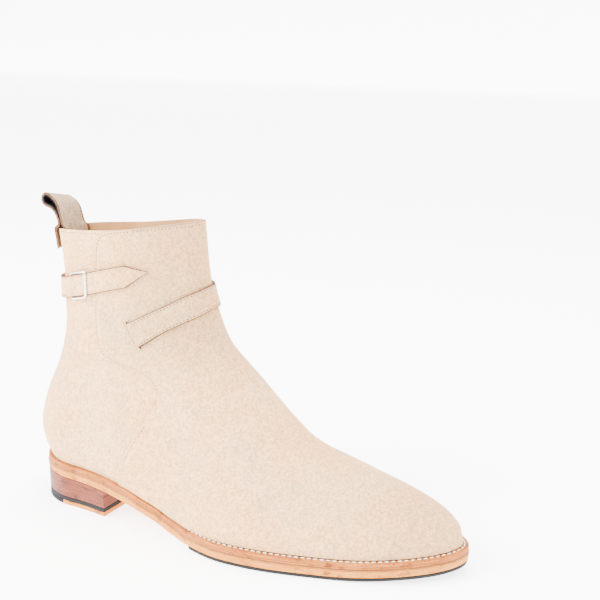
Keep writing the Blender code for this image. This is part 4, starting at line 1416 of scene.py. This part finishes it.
@dataclass
class Buckle:
    """The slim buckle frame and its prong."""

    strap: Strap
    bar: float = BUCKLE_BAR
    length: float = 18.0 * MM
    corner: float = 2.0 * MM
    prong: float = PRONG_DIAMETER
    turn: float = 1.128

    def build(self) -> None:
        """Build the frame and the prong."""
        strap = self.strap
        near = strap.point(self.turn, [0.5], [0.0])[0]
        turns = np.linspace(self.turn, self.turn + 0.1, 300)
        reach = [np.linalg.norm(strap.point(turn, [0.5], [0.0])[0] - near) for turn in turns]
        far_turn = float(np.interp(self.length - self.bar, reach, turns))
        edges = strap.point(self.turn, [0.0, 1.0], [0.0, 0.0])
        width = np.linalg.norm(edges[1] - edges[0])
        spare = (self.bar / 2 + LAST.gap) / width
        corner_along, corner_across = self.corner / self.length, self.corner / width
        low = LAST.gap + self.bar / 2
        high = float(STRAP["lift"](far_turn)) + strap.thickness + LAST.gap + self.bar / 2
        path = []
        for along, across, start in ((1, 1, 0), (0, 1, 90), (0, 0, 180), (1, 0, 270)):
            for angle in np.radians(start + np.linspace(0, 90, 9)):
                u = along + (corner_along if along == 0 else -corner_along)
                u = u + corner_along * np.cos(angle)
                w = across * (1 + spare) - (1 - across) * spare
                w = w + (-corner_across if across else corner_across)
                w = w + corner_across * np.sin(angle)
                turn = self.turn + (far_turn - self.turn) * u
                lift = low + (high - low) * u - float(STRAP["lift"](turn))
                path.append(strap.point(turn, [w], [lift])[0])
        keep(tube("buckle_frame_bar", resample(np.array(path + path[:1]), 121)[:-1],
                  self.bar / 2, 20, True, Looks.STEEL), "buckle_steel", "buckle_frame")
        under = LAST.gap + self.prong / 2
        start = self.turn + (strap.hole_turn - self.turn) * 0.45
        lifts = [under, under,
                 float(STRAP["lift"](strap.hole_turn)) + strap.thickness - LAST.gap]
        prong = [strap.point(turn, [0.5], [lift - float(STRAP["lift"](turn))])[0]
                 for turn, lift in zip((start, strap.hole_turn, strap.hole_turn), lifts)]
        keep(tube("buckle_tongue", prong, self.prong / 2, 16, False, Looks.STEEL),
             "buckle_steel", "buckle_prong")


@dataclass
class PullLoop:
    """The suede pull loop, the tape that lines it and the strip down the back."""

    width: float = 23.0 * MM
    height: float = 23.0 * MM
    thickness: float = 1.4 * MM
    tape: float = 0.7 * MM
    leg: float = 13.0 * MM
    straightening: float = 0.5
    droop: float = 0.18
    strip_width: float = 3.0 * MM
    strip_thickness: float = STRIP_THICKNESS
    strip_foot: float = 88.0 * MM
    row_inset: float = 1.5 * MM

    def back_y(self, x: float, height: float, out: float) -> float:
        """Return y of the boot's back at a distance out, at a place across it.

        Args:
            x: The place across.
            height: The height over the floor.
            out: The distance out from the last.

        Returns:
            The place along the boot.
        """
        height = min(height, LAST.collar_back_height)
        turns = np.linspace(-0.2, 0.2, 81)
        rise = LAST.rise_at(0.0, height)
        points = LAST.offset(turns, np.full(81, rise), np.full(81, out))
        return float(np.interp(x, points[:, 0], points[:, 1]))

    def loop_line(self, x: float) -> list[tuple[float, float]]:
        """Return the free part of the loop as (y, z) points."""
        centre = self.back_y(0.0, LAST.collar_back_height, 0.0)
        bow = self.back_y(x, LAST.collar_back_height, 0.0) - centre
        height = self.height * (1 - self.droop * (0.5 - x / self.width))
        return [(centre + point.forward * self.height + bow * (1 - self.straightening * point.up),
                 LAST.collar_back_height + point.up * height) for point in LOOP_PROFILE]

    def whole_line(self, x: float) -> Points:
        """Return the loop with its two legs as (y, z) points."""
        out = self.strip_thickness + 3 * LAST.gap + self.thickness
        drops = [LAST.collar_back_height - self.leg * share for share in (1.0, 0.5, 0.0)]
        outside = [(self.back_y(x, height, out), height) for height in drops]
        inside = [(self.back_y(x, height, -LAST.wall - 2 * LAST.gap - self.thickness), height)
                  for height in drops[::-1]]
        return spline(outside + self.loop_line(x) + inside, 8)

    def band(self, name: str, line: Callable[[float], Points], width: float, thickness: float,
             looks: tuple[Looks, Looks, Looks], inset: float = 0.0) -> bpy.types.Object:
        """Return a band along a side view, with rounded edges.

        Args:
            name: The piece's name.
            line: The side view, as (y, z) points at a place across.
            width: The band's width.
            thickness: Its thickness.
            looks: The finishes of its outer face, its inner face and its edges.
            inset: How far under the line its outer face lies.

        Returns:
            The band.
        """
        shares = np.array([-0.5, -0.488, -0.46, -0.40, -0.25, 0.0, 0.25, 0.40, 0.46, 0.488, 0.5])
        drop = np.array([0.16, 0.05, 0.0, 0.03, 0.0, 0.0, 0.0, 0.03, 0.0, 0.05, 0.16])
        outer, inner = [], []
        for share, low in zip(shares, drop):
            path = np.asarray(line(share * width))
            heading = unit(np.gradient(path, axis=0))
            inward = np.stack([heading[:, 1], -heading[:, 0]], -1)
            for grid, depth in ((outer, inset + low * thickness), (inner, inset + thickness)):
                y, z = (path + inward * depth).T
                grid.append(np.stack([np.full(len(y), share * width), y, z], -1))
        return slab(name, np.stack(outer, 1), np.stack(inner, 1), looks, trim=2)

    def build(self) -> None:
        """Build loop, tape and strip."""
        loop = self.band("heel_pull_loop", self.whole_line, self.width, self.thickness,
                         (Looks.LOOP_SUEDE, Looks.LOOP_SUEDE, Looks.SUEDE_EDGE))
        keep(loop, "suede", "pull_loop")
        rows = []
        for side in (-1, 1):
            x = side * (self.width / 2 - self.row_inset)
            line = self.whole_line(x)
            heading = unit(np.gradient(line, axis=0))
            outward = np.stack([0 * line[:, 0], -heading[:, 1], heading[:, 0]], -1)
            points = np.column_stack([np.full(len(line), x), line])
            rows.append(StitchRow(points[2:-2], outward[2:-2]))
        sew("pull_loop_stitches", rows, "suede")
        tape = self.band("pull_loop_lining_tape",
                         lambda x: spline(self.loop_line(x), 8)[4:-4], self.width, self.tape,
                         (Looks.TAPE, Looks.TAPE, Looks.TAPE), self.thickness + LAST.gap)
        keep(tape, "tape", "pull_loop_tape")
        heights = np.linspace(self.strip_foot, LAST.collar_back_height - self.strip_thickness, 70)
        out = self.strip_thickness + LAST.gap

        def line(x: float) -> Points:
            """Return the strip's outer face as (y, z) points."""
            return np.array([(self.back_y(x, height, out), height) for height in heights])

        strip = self.band("back_seam_tape", line, self.strip_width, self.strip_thickness,
                          (Looks.TAPE, Looks.TAPE, Looks.TAPE))
        keep(strip, "tape", "back_seam_strip")


class Level(NamedTuple):
    """One level of a sole layer's side: its plan's offset and its height."""

    extra: float
    height: Section
    mark: float


@dataclass
class Sole:
    """The welt, the outsole, the rubber and the layers of the heel."""

    heel_edge: float = 3.0 * MM
    waist_edge: float = 2.6 * MM
    forefoot_edge: float = 4.8 * MM
    heel_length: float = 64.0 * MM
    rubber_start: float = 136.0 * MM
    bevel: float = 0.6 * MM
    setback: float = 0.5 * MM
    taper: float = 0.4 * MM
    top_piece: float = 2.7 * MM
    lift: float = 2.4 * MM
    leather_length: float = 36.0 * MM
    notch_pitch: float = 2.6 * MM
    notch_depth: float = 0.28 * MM
    steps: int = 260
    welt_steps: int = 1500
    stitch_start: float = 92.0 * MM
    stitch_inset: float = 2.5 * MM
    stitch_pitch: float = 3.7 * MM
    stitch: tuple[float, float, float] = (2.9 * MM, 0.95 * MM, 0.7 * MM)
    stitch_hole: tuple[float, float, float] = (0.8 * MM, 0.8 * MM, 0.25 * MM)

    def feather_line(self, turn: Points, out: Points) -> Points:
        """Return the plan of the feather line moved out by a distance."""
        point, normal = LAST.point(turn, 0.0), LAST.normal(turn, 0.0)
        return point[..., :2] + normal[..., :2] * np.asarray(out)[..., None]

    def line(self, turn: Points, extra: Points) -> Points:
        """Return the plan of the sole's edge, moved out by an extra distance."""
        s = LAST.point(turn, 0.0)[..., 1] + LAST.heel_centre
        edge = self.heel_edge + (self.waist_edge - self.heel_edge) \
            * ease((s - self.heel_length) / LAST.heel_centre)
        edge = edge + (self.forefoot_edge - self.waist_edge) \
            * ease((s - 0.8 * self.rubber_start) / self.heel_length)
        return self.feather_line(turn, edge + extra)

    def cut_square(self, line: Points, start: float | None, stop: float | None) -> Points:
        """Return x and y of an outline from heel to toe, cut square at both ends.

        Args:
            line: The outline's points.
            start: Where it is cut at its back.
            stop: Where it is cut at its front.

        Returns:
            The outline's x and y.
        """
        x, y = line.T
        if start is not None:
            ahead = y > start + LAST.gap / 10
            x = np.concatenate([[np.interp(start, y, x)], x[ahead]])
            y = np.concatenate([[start], y[ahead]])
        if stop is not None:
            behind = y < stop - LAST.gap / 10
            x = np.concatenate([x[behind], [np.interp(stop, y, x)]])
            y = np.concatenate([y[behind], [stop]])
        return np.stack([x, y])

    def layer(self, name: str, levels: Sequence[Level], looks: tuple[Looks, Looks],
              start: float | None = None, stop: float | None = None) -> bpy.types.Object:
        """Return a layer of the sole.

        Args:
            name: The piece's name.
            levels: Its side, from the lowest level to the highest.
            looks: The finishes of its side and of its flat faces.
            start: Where it is cut square at its back.
            stop: Where it is cut square at its front.

        Returns:
            The piece.
        """
        turns = np.arange(self.steps + 1) / (2 * self.steps)
        stations = LAST.point(turns, 0.0)[:, 1]
        if start is not None:
            stations = np.concatenate([[start], stations[stations > start + LAST.gap / 10]])
        if stop is not None:
            stations = np.concatenate([stations[stations < stop - LAST.gap / 10], [stop]])
        share = (stations - stations[0]) / (stations[-1] - stations[0])
        sides = {-1: [], 1: []}
        for level in levels:
            for side in sides:
                x, y = self.cut_square(self.line(side * turns, level.extra), start, stop)
                place_y = y[0] + (y[-1] - y[0]) * share
                place_x = np.interp(share, (y - y[0]) / (y[-1] - y[0]), x)
                height = level.height(place_y + LAST.heel_centre) + 0 * share
                sides[side].append(np.stack([place_x, place_y, height], -1))
        sections = np.stack(sides[1] + sides[-1][::-1], 1)
        count = len(levels)
        along = travel(sides[1][-1])
        marks = [level.mark for level in levels]
        uv = np.array([[(u, v) for v in marks + marks[::-1]] for u in along]).reshape(-1, 2)
        rows, columns = sections.shape[:2]
        faces = strips(rows, columns, False, True, cap_ends=True)
        kinds = [1 if j % columns in (count - 1, columns - 1) else 0
                 for j in range((rows - 1) * columns)] + [0, 0]
        return make_object(name, sections, faces, [look.material for look in looks], kinds, uv)

    def rounded(self, low: tuple[float, Section], high: tuple[float, Section], radius: float,
                thickness: float) -> list[Level]:
        """Return the levels of a side with both its corners rounded.

        Args:
            low: The lower edge's offset and height.
            high: The upper edge's offset and height.
            radius: The rounding of each corner.
            thickness: How thick the layer is.

        Returns:
            The levels, from the lowest to the highest.
        """
        levels = []
        places = [(1 - np.cos(a)) * radius for a in np.radians((0, 30, 60, 90))]
        ins = [(1 - np.sin(a)) * radius for a in np.radians((0, 30, 60, 90))]
        profile = list(zip(places, ins))
        profile += [(thickness - place, inward) for place, inward in zip(places, ins)][::-1]
        for up, inward in profile:
            share = up / thickness
            extra = low[0] + (high[0] - low[0]) * share - inward

            def height(s: Points, share: float = share) -> Points:
                """Return this level's height along the last."""
                return low[1](s) * (1 - share) + high[1](s) * share

            levels.append(Level(extra, height, up))
        return levels

    def build_welt(self) -> None:
        """Build the welt, with wheel marks along its top edge."""
        dense = np.linspace(0, 1, 4001)
        far = travel(self.line(dense, 0.0))
        along = np.linspace(0, far[-1], self.welt_steps + 1)[:-1]
        turns = np.interp(along, far, dense)
        s = LAST.point(turns, 0.0)[:, 1] + LAST.heel_centre
        marked = ease((s - 0.72 * self.rubber_start) / (0.3 * self.heel_length))
        beat = (0.5 + 0.5 * np.cos(2 * np.pi * along / self.notch_pitch)) ** 3
        notch = self.notch_depth * marked * beat
        top = LAST.welt_thickness
        inner = self.feather_line(turns, -LAST.wall - LAST.gap)
        profile = ((0.30, 0.0, 0.0), (0.05, 0.15, 0.0), (0.0, 0.5, 0.0), (0.0, top / MM - 1.2, 0.0),
                   (0.0, top / MM - 0.6, 0.5), (0.18, top / MM - 0.15, 1.0),
                   (0.5, top / MM, 1.0), (1.1, top / MM, 0.6), (1.9, top / MM - 0.05, 0.0))
        rings = [np.column_stack([inner, LAST.outsole_top(inner[:, 1] + LAST.heel_centre)
                                  + LAST.gap])]
        marks = [0.0]
        for inward, up, share in profile:
            plan = self.line(turns, -self.setback - inward * MM - notch * share * 0.7)
            low = LAST.outsole_top(plan[:, 1] + LAST.heel_centre) + LAST.gap
            rings.append(np.column_stack([plan, low + up * MM - notch * share]))
            marks.append(up * MM)
        rings.append(rings[0] + np.array([0.0, 0.0, top]))
        marks.append(top)
        sections = np.stack(rings, 1)
        uv = np.array([[(u, v) for v in marks] for u in along]).reshape(-1, 2)
        welt = make_object("stitched_welt", sections,
                           strips(len(turns), len(rings), True, True), [Looks.WELT.material],
                           None, uv)
        keep(welt, "welt", "welt")
        sewn = (s > self.stitch_start) & (turns > 0)
        ends = turns[sewn]
        plan = self.line(ends, -self.setback - self.stitch_inset)
        height = LAST.outsole_top(plan[:, 1] + LAST.heel_centre) + LAST.gap + top
        points = np.column_stack([plan, height + 0.05 * MM])
        outward = np.tile([0.0, 0.0, 1.0], (len(points), 1))
        rows = [StitchRow(points, outward)]
        Stitches("welt_stitches", self.stitch_pitch, *self.stitch, Looks.WELT_THREAD, "welt",
                 rows).build()
        # Dark beads between the welt stitches: painted shade of the needle holes.
        Stitches("welt_stitch_holes", self.stitch_pitch, *self.stitch_hole, Looks.HOLE_SHADE,
                 "welt", rows).build(self.stitch_pitch / 2)

    def build(self) -> None:
        """Build every layer."""
        self.build_welt()
        tread, top = LAST.tread_height, LAST.outsole_top
        outsole = self.layer(
            "leather_outsole",
            self.rounded((-self.bevel, tread), (0.0, top), 0.45 * MM, LAST.outsole_thickness),
            (Looks.OUTSOLE, Looks.SOLE_LEATHER))
        keep(outsole, "sole_leather", "outsole")
        under = tread
        gap, rubber = LAST.gap, LAST.rubber_thickness
        half_sole = self.layer(
            "forefoot_half_sole",
            self.rounded((-2 * self.bevel, lambda s: under(s) - gap - rubber),
                         (-self.bevel, lambda s: under(s) - gap), 0.3 * MM, rubber),
            (Looks.RUBBER, Looks.RUBBER), start=self.rubber_start - LAST.heel_centre)
        keep(half_sole, "sole_rubber", "forefoot_rubber")
        breast = self.heel_length - LAST.heel_centre
        lift_low = self.top_piece + gap
        stack_low = lift_low + self.lift + gap
        inset = -self.bevel - self.taper

        def flat(height: float) -> Section:
            """Return a height that is the same all along."""
            return lambda s: height + 0 * s

        stack = self.layer(
            "stacked_heel",
            self.rounded((inset, flat(stack_low)), (-self.bevel, lambda s: tread(s) - gap),
                         0.25 * MM, 12.5 * MM),
            (Looks.STACK, Looks.STACK), stop=breast)
        keep(stack, "heel_leather", "heel_stack")
        lift = self.layer(
            "heel_rubber_lift",
            self.rounded((inset, flat(lift_low)), (inset, flat(lift_low + self.lift)),
                         0.2 * MM, self.lift),
            (Looks.RUBBER, Looks.RUBBER), stop=breast)
        keep(lift, "sole_rubber", "heel_lift_rubber")
        joint = breast - self.leather_length
        for name, node, slot, look, start, stop in (
                ("heel_top_piece_rubber", "top_piece_rubber", "sole_rubber", Looks.RUBBER,
                 None, joint - gap / 2),
                ("heel_top_piece_leather", "top_piece_leather", "sole_leather", Looks.OUTSOLE,
                 joint + gap / 2, breast)):
            piece = self.layer(
                name, self.rounded((inset, flat(0.0)), (inset, flat(self.top_piece)),
                                   0.25 * MM, self.top_piece),
                (look, look), start=start, stop=stop)
            keep(piece, slot, node)


class StitchRow(NamedTuple):
    """A line of stitches and the way out of the surface at each point."""

    points: Points
    outward: Points


@dataclass
class Stitches:
    """Rows of stitches, set along their lines by Geometry Nodes."""

    name: str
    pitch: float
    length: float
    width: float
    height: float
    look: Looks
    slot: str
    rows: list

    def tree(self) -> bpy.types.NodeTree:
        """Return the node group that sets one bead at each step of a line."""
        made = bpy.data.node_groups.get("stitch_row")
        if made:
            return made
        tree = bpy.data.node_groups.new("stitch_row", "GeometryNodeTree")
        face = tree.interface
        face.new_socket("Geometry", in_out="INPUT", socket_type="NodeSocketGeometry")
        for name in ("Pitch", "Bead Length", "Bead Width", "Bead Height"):
            face.new_socket(name, in_out="INPUT", socket_type="NodeSocketFloat")
        face.new_socket("Finish", in_out="INPUT", socket_type="NodeSocketMaterial")
        face.new_socket("Geometry", in_out="OUTPUT", socket_type="NodeSocketGeometry")
        nodes, links = tree.nodes, tree.links
        given = nodes.new("NodeGroupInput")
        curve = nodes.new("GeometryNodeMeshToCurve")
        steps = nodes.new("GeometryNodeResampleCurve")
        steps.mode = "LENGTH"
        bead = nodes.new("GeometryNodeMeshUVSphere")
        bead.inputs["Segments"].default_value = 8
        bead.inputs["Rings"].default_value = 5
        bead.inputs["Radius"].default_value = 0.5
        size = nodes.new("ShaderNodeCombineXYZ")
        shaped = nodes.new("GeometryNodeTransform")
        heading = nodes.new("GeometryNodeInputTangent")
        outward = nodes.new("GeometryNodeInputNamedAttribute")
        outward.data_type = "FLOAT_VECTOR"
        outward.inputs["Name"].default_value = "outward"
        turned = nodes.new("FunctionNodeAxesToRotation")
        turned.primary_axis = "Z"
        turned.secondary_axis = "X"
        copies = nodes.new("GeometryNodeInstanceOnPoints")
        real = nodes.new("GeometryNodeRealizeInstances")
        soft = nodes.new("GeometryNodeSetShadeSmooth")
        dressed = nodes.new("GeometryNodeSetMaterial")
        result = nodes.new("NodeGroupOutput")
        for start, end in (
                (given.outputs["Geometry"], curve.inputs["Mesh"]),
                (curve.outputs["Curve"], steps.inputs["Curve"]),
                (given.outputs["Pitch"], steps.inputs["Length"]),
                (given.outputs["Bead Length"], size.inputs[0]),
                (given.outputs["Bead Width"], size.inputs[1]),
                (given.outputs["Bead Height"], size.inputs[2]),
                (bead.outputs["Mesh"], shaped.inputs["Geometry"]),
                (size.outputs[0], shaped.inputs["Scale"]),
                (outward.outputs["Attribute"], turned.inputs["Primary Axis"]),
                (heading.outputs["Tangent"], turned.inputs["Secondary Axis"]),
                (steps.outputs["Curve"], copies.inputs["Points"]),
                (shaped.outputs["Geometry"], copies.inputs["Instance"]),
                (turned.outputs["Rotation"], copies.inputs["Rotation"]),
                (copies.outputs["Instances"], real.inputs["Geometry"]),
                (real.outputs["Geometry"], soft.inputs["Geometry"]),
                (soft.outputs["Geometry"], dressed.inputs["Geometry"]),
                (given.outputs["Finish"], dressed.inputs["Material"]),
                (dressed.outputs["Geometry"], result.inputs[0])):
            links.new(start, end)
        return tree

    def build(self, shift: float = 0.0) -> bpy.types.Object:
        """Return the beads as one plain mesh.

        Args:
            shift: How far along its line each row starts.

        Returns:
            The piece.
        """
        points, outward, edges = [], [], []
        for row in self.rows:
            far = travel(row.points)
            places = np.linspace(shift, far[-1], max(int(far[-1] / (0.5 * MM)), 4))
            first = len(points)
            for place in places:
                points.append([np.interp(place, far, column) for column in row.points.T])
                outward.append([np.interp(place, far, column) for column in row.outward.T])
            edges += [(i, i + 1) for i in range(first, len(points) - 1)]
        mesh = bpy.data.meshes.new(self.name)
        mesh.from_pydata(points, edges, [])
        attribute = mesh.attributes.new("outward", "FLOAT_VECTOR", "POINT")
        attribute.data.foreach_set("vector", np.asarray(outward, np.float32).ravel())
        line = bpy.data.objects.new(self.name + "_line", mesh)
        bpy.context.scene.collection.objects.link(line)
        step = line.modifiers.new("stitches", "NODES")
        step.node_group = self.tree()
        given = {"Pitch": self.pitch, "Bead Length": self.length, "Bead Width": self.width,
                 "Bead Height": self.height, "Finish": self.look.material}
        for item in step.node_group.interface.items_tree:
            if item.in_out == "INPUT" and item.name in given:
                step[item.identifier] = given[item.name]
        shape = bpy.data.meshes.new_from_object(
            line.evaluated_get(bpy.context.evaluated_depsgraph_get()))
        bpy.data.objects.remove(line)
        piece = bpy.data.objects.new(self.name, shape)
        bpy.context.scene.collection.objects.link(piece)
        return keep(piece, self.slot)


def sew(name: str, rows: list[StitchRow], slot: str) -> None:
    """Sew fine rows in suede: threads, and dark beads between them as painted shade of the needle
    holes.
    """
    pitch = 2.3 * MM
    thread = (1.5 * MM, 0.55 * MM, 0.36 * MM)
    # Size of the dark beads painted as the needle holes' shade.
    hole = (1.0 * MM, 0.72 * MM, 0.24 * MM)
    Stitches(name, pitch, *thread, Looks.SUEDE_THREAD, slot, rows).build()
    Stitches(name + "_holes", pitch, *hole, Looks.HOLE_SHADE, slot, rows).build(pitch / 2)


@dataclass
class Stage:
    """The floor, the soft lights and the camera at the photo's angle."""

    camera_x: float = 573.67 * MM
    camera_y: float = 434.47 * MM
    camera_z: float = 303.16 * MM
    yaw: float = 26.415
    pitch: float = 13.423
    roll: float = 1.123
    lens: float = 66.995
    sensor: float = 36.0
    floor_size: float = 6.0
    floor_glow: float = 3.6
    wall_height: float = 1.2
    sky_strength: float = 4.6

    def build(self) -> None:
        """Build floor, light and camera."""
        self.build_floor()
        self.build_light()
        self.build_camera()

    def build_floor(self) -> None:
        """Build the pale floor and the low wall at its far end."""
        paint = Painter("pale_floor")
        tone = paint.noise(3.0, 2.0)
        material = paint.finish(
            paint.shaded((0.97, 0.97, 0.97), 0.99 + 0.02 * tone), 0.9, None,
            {"Emission Color": (1.0, 1.0, 1.0, 1.0), "Emission Strength": self.floor_glow})
        size, wall = self.floor_size, self.wall_height
        points = np.array([(-size, -size, 0), (size, -size, 0), (size, size, 0),
                           (-size, size, 0), (-size, -size, wall), (-size, size, wall)])
        mesh = bpy.data.meshes.new("floor")
        mesh.from_pydata(points.tolist(), [], [(0, 1, 2, 3), (3, 5, 4, 0)])
        mesh.materials.append(material)
        floor = bpy.data.objects.new("floor", mesh)
        bpy.context.scene.collection.objects.link(floor)

    def build_light(self) -> None:
        """Build a white room and two soft lamps."""
        world = bpy.data.worlds.new("white_room")
        world.use_nodes = True
        sky = world.node_tree.nodes["Background"]
        sky.inputs["Color"].default_value = (1.0, 1.0, 1.0, 1.0)
        sky.inputs["Strength"].default_value = self.sky_strength
        bpy.context.scene.world = world
        for name, place, size, power in (
                ("key_light", (0.9, -0.9, 1.1), 0.9, 90.0),
                ("top_light", (-0.3, 0.3, 1.6), 1.2, 50.0)):
            lamp = bpy.data.lights.new(name, "AREA")
            lamp.size = size
            lamp.energy = power
            holder = bpy.data.objects.new(name, lamp)
            bpy.context.scene.collection.objects.link(holder)
            holder.matrix_world = self.looking(np.array(place), np.array([0.0, 0.1, 0.08]))

    def looking(self, place: Points, target: Points) -> Matrix:
        """Return the placing of a lamp that looks at a target."""
        ahead = unit(target - place)
        right = unit(np.cross(ahead, (0.0, 0.0, 1.0)))
        return self.placing(place, right, np.cross(right, ahead), ahead)

    def placing(self, place: Points, right: Points, up: Points, ahead: Points) -> Matrix:
        """Return a placing by its axes."""
        rows = np.eye(4)
        rows[:3, 0], rows[:3, 1], rows[:3, 2], rows[:3, 3] = right, up, -ahead, place
        return Matrix(rows.tolist())

    def build_camera(self) -> None:
        """Build the camera, rolled as in the photo."""
        yaw, pitch, roll = np.radians([self.yaw, self.pitch, self.roll])
        ahead = np.array([-np.cos(yaw) * np.cos(pitch), -np.sin(yaw) * np.cos(pitch),
                          -np.sin(pitch)])
        right = unit(np.cross(ahead, (0.0, 0.0, 1.0)))
        up = np.cross(right, ahead)
        right, up = (right * np.cos(roll) + up * np.sin(roll),
                     up * np.cos(roll) - right * np.sin(roll))
        data = bpy.data.cameras.new("camera")
        data.lens = self.lens
        data.sensor_width = self.sensor
        data.clip_start = 0.01
        camera = bpy.data.objects.new("camera", data)
        bpy.context.scene.collection.objects.link(camera)
        camera.matrix_world = self.placing(
            np.array([self.camera_x, self.camera_y, self.camera_z]), right, up, ahead)
        bpy.context.scene.camera = camera


def dress_insole() -> None:
    """Give the insole its leather."""
    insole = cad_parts["insole"]
    for slot in insole.material_slots:
        slot.material = Looks.LINING.material


def main() -> None:
    """Build the boot's looks in order."""
    logging.basicConfig(level=logging.INFO, format="%(name)s: %(message)s")
    Stage().build()
    upper = Upper()
    upper.build()
    strap = Strap()
    strap.build()
    Buckle(strap).build()
    PullLoop().build()
    sole = Sole()
    sole.build()
    dress_insole()


if __name__ == "__main__":
    main()
